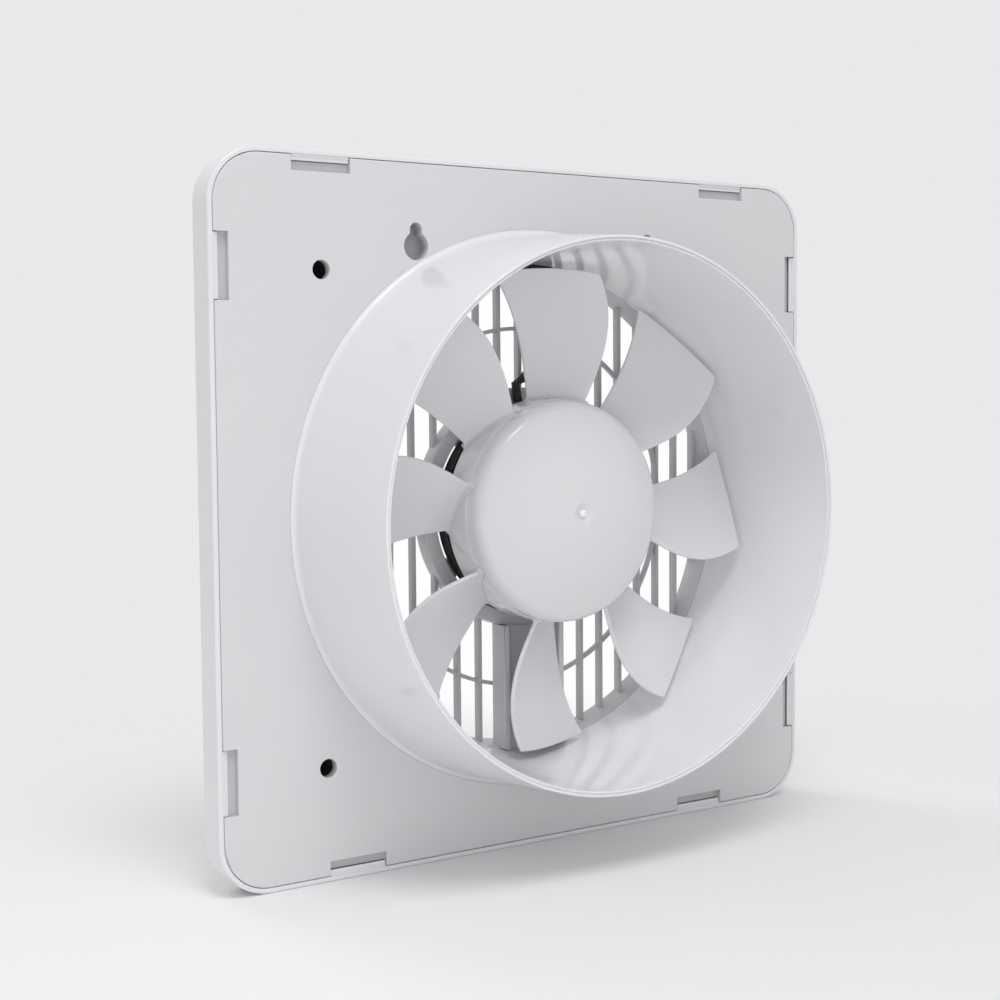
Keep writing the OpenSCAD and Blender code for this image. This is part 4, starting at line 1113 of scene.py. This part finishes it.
ZINC = metal("zinc_plate", (0.6, 0.62, 0.66, 1), tint=(0.5, 0.52, 0.48, 1), roughness=0.3,
             streak=(0.8, 0.8, 0.8))
NODE_FINISHES = [
    # the plate's keyhole and notch recesses get painted shade
    (moulded_plastic("plate_plastic", shade=0.68, roughness=0.36, gloss_patch=0.05, grain=0.008,
                     sunk=(-0.5, -3.5)), ["back_plate"]),
    (moulded_plastic("white_nylon", shade=0.66, roughness=0.45, gloss_patch=0.1),
     ["thrust_washers", "thermal_fuse", "capacitor_clip", "terminal_block", "cord_clamp"]),
    # The screw sleeves are black rubber, and their black also stands in for the shade deep in the
    # plate's screw holes: painted shade.
    (black_part("black_rubber", shade=0.02, roughness=0.62, grain_size=0.3, grain=0.02),
     ["screw_sleeves", "lead_grommet", "cable_grommet", "motor_washers"]),
    (black_part("black_plastic", shade=0.025, roughness=0.42, grain_size=0.8, grain=0.008),
     ["capacitor", "coil_insulators"]),
    (black_part("wire_sleeve", shade=0.02, roughness=0.38, grain_size=1.5, grain=0.01),
     ["motor_lead", "capacitor_lead"]),
    (black_part("bracket_steel", shade=0.03, roughness=0.3, grain_size=2.5, grain=0.006),
     ["rear_bracket", "front_bracket"]),
    (ZINC, ["guard_screws", "motor_screws", "motor_bolts", "bolt_nuts", "clamp_screws",
            "terminal_screws", "hub_clip"]),
    (metal("ground_steel", (0.6, 0.6, 0.61, 1), tint=(0.5, 0.5, 0.5, 1), roughness=0.22,
           streak=(0.2, 6, 0.2)), ["motor_shaft"]),
    (metal("lamination_steel", (0.32, 0.32, 0.34, 1), tint=(0.2, 0.17, 0.15, 1), roughness=0.4,
           streak=(0.05, 4, 0.05), grain=0.05), ["stator_core", "rotor_core"]),
    (metal("rotor_aluminium", (0.66, 0.67, 0.68, 1), tint=(0.5, 0.5, 0.5, 1), roughness=0.4,
           streak=(2, 2, 2), grain=0.02), ["rotor_cage"]),
    (metal("bronze", (0.5, 0.33, 0.16, 1), tint=(0.3, 0.2, 0.1, 1), roughness=0.45,
           streak=(3, 3, 3)), ["rear_bearing", "front_bearing"]),
    (copper_windings(), ["stator_coils"]),
    (felt_pad(), ["bearing_felts"]),
]
for material, names in NODE_FINISHES:
    for name in names:
        for place in nodes[name].material_slots:
            place.material = material

cross_head_screws("guard_screw_set", "guard_screws", shank_r=SCREW_D / 2,
                  head_r=SCREW_HEAD_R, head_h=SCREW_HEAD_H, head_z=LUG_Z - LUG_T, tip_z=-1.5,
                  count=LUG_COUNT, place_r=LUG_R, first_angle=LUG_TURN)
cross_head_screws("motor_screw_set", "motor_screws", shank_r=MOUNT_SCREW_D / 2,
                  head_r=MOUNT_HEAD_R, head_h=MOUNT_HEAD_H, head_z=CUP_FLOOR_Z, tip_z=-5,
                  count=MOUNT_SCREW_COUNT, place_r=MOUNT_SCREW_R, first_angle=MOUNT_SCREW_TURN)


# Floor, light and camera

def floor():
    """A pale floor under the bottom edge of the cover. It fades out into the backdrop."""
    size = 3.0
    bm = bmesh.new()
    low = cad_box[0][2]
    bm.faces.new([bm.verts.new((x * size, y * size, low)) for x, y in
                  ((-1, -1), (1, -1), (1, 1), (-1, 1))])
    piece = finish_mesh("floor", bm)
    finish = Finish("floor_paper")
    x, y = finish.parts(finish.place)[:2]
    aside = x - FLOOR_CENTRE[0]
    along = y - FLOOR_CENTRE[1]
    away = (aside * aside + along * along) ** 0.5
    fade = finish.ramp(away, *FLOOR_FADE)
    tooth = finish.noise(1.5, detail=4.0)
    paper = finish.node("ShaderNodeBsdfPrincipled", None,
                        {"Base Color": grey(FLOOR_SHADE), "Roughness": 0.9 + 0.05 * tooth,
                         "Specular IOR Level": 0.1})
    clear = finish.node("ShaderNodeBsdfTransparent")
    mixed = finish.node("ShaderNodeMixShader", None, {0: fade, 1: paper, 2: clear})
    finish.node("ShaderNodeOutputMaterial", None, {"Surface": mixed})
    piece.data.materials.append(finish.material)


def backdrop():
    """An even pale room, which the camera and glossy surfaces see as a paper backdrop."""
    world = bpy.data.worlds.new("studio")
    world.use_nodes = True
    bpy.context.scene.world = world
    room = Graph(world.node_tree)
    seen = 0.0
    for kind in ("Camera", "Glossy", "Transmission"):
        ray = room.node("ShaderNodeLightPath", output=f"Is {kind} Ray")
        seen = room.math("MAXIMUM", seen, ray)
    light = room.node("ShaderNodeBackground", None,
                      {"Color": grey(1.0, COOL), "Strength": ROOM_LIGHT})
    toward = room.node("ShaderNodeTexCoord", output="Generated")

    def along(axis):
        """How far the direction of view leans along an axis."""
        return room.node("ShaderNodeVectorMath", {"operation": "DOT_PRODUCT"},
                         {0: toward, 1: tuple(axis)}, output="Value")

    # a soft oval of the backdrop is lit, and shows through the grille
    aside = (along(CAMERA_RIGHT) - OVAL_ASIDE) / OVAL_HALF_W
    above = (along(CAMERA_UP) - OVAL_ABOVE) / OVAL_HALF_H
    behind = room.math("LESS_THAN", along(-CAMERA_BACK), 0.0)
    reach = (aside * aside + above * above) ** 0.5 + 2 * behind
    glow = room.node("ShaderNodeMapRange", {"interpolation_type": "SMOOTHSTEP"},
                     {"Value": reach, "From Min": OVAL_FADE[0], "From Max": OVAL_FADE[1]})
    paper = room.node("ShaderNodeBackground", None,
                      {"Color": grey(1.0, COOL),
                       "Strength": BACKDROP_SHADE + glow * (1 - BACKDROP_SHADE)})
    mixed = room.node("ShaderNodeMixShader", None, {0: seen, 1: light, 2: paper})
    room.node("ShaderNodeOutputWorld", None, {"Surface": mixed})


def soft_light(name, place, aim, size, power, glossy=True):
    """A square lamp that is aimed at a point, seen in gloss or not."""
    lamp = bpy.data.lights.new(name, "AREA")
    lamp.size = size
    lamp.energy = power
    holder = add(name, lamp)
    holder.location = place
    holder.visible_glossy = glossy
    holder.rotation_euler = (Vector(aim) - Vector(place)).to_track_quat("-Z", "Y").to_euler()


def camera():
    """The camera at the photograph's angle."""
    lens = bpy.data.cameras.new("camera")
    lens.lens = CAMERA_LENS
    lens.sensor_width = 36
    lens.clip_start = 0.01
    holder = add("camera", lens)
    turn = Matrix((CAMERA_RIGHT, CAMERA_UP, CAMERA_BACK)).transposed()
    holder.matrix_world = Matrix.Translation(CAMERA_PLACE) @ turn.to_4x4()
    bpy.context.scene.camera = holder


floor()
backdrop()
camera()
soft_light("key", place=(0.2, 0.5, 1.0), aim=(0, 0, 0), size=0.5, power=4.8)
soft_light("bounce", place=(0.3, 0.45, -0.112), aim=(0, 0.05, -0.07), size=0.35, power=0.7,
           glossy=False)
soft_light("window", place=(0.3, -0.9, 0.8), aim=(0, 0, 0), size=0.5, power=2.0, glossy=False)
bpy.context.scene.view_settings.view_transform = "Standard"
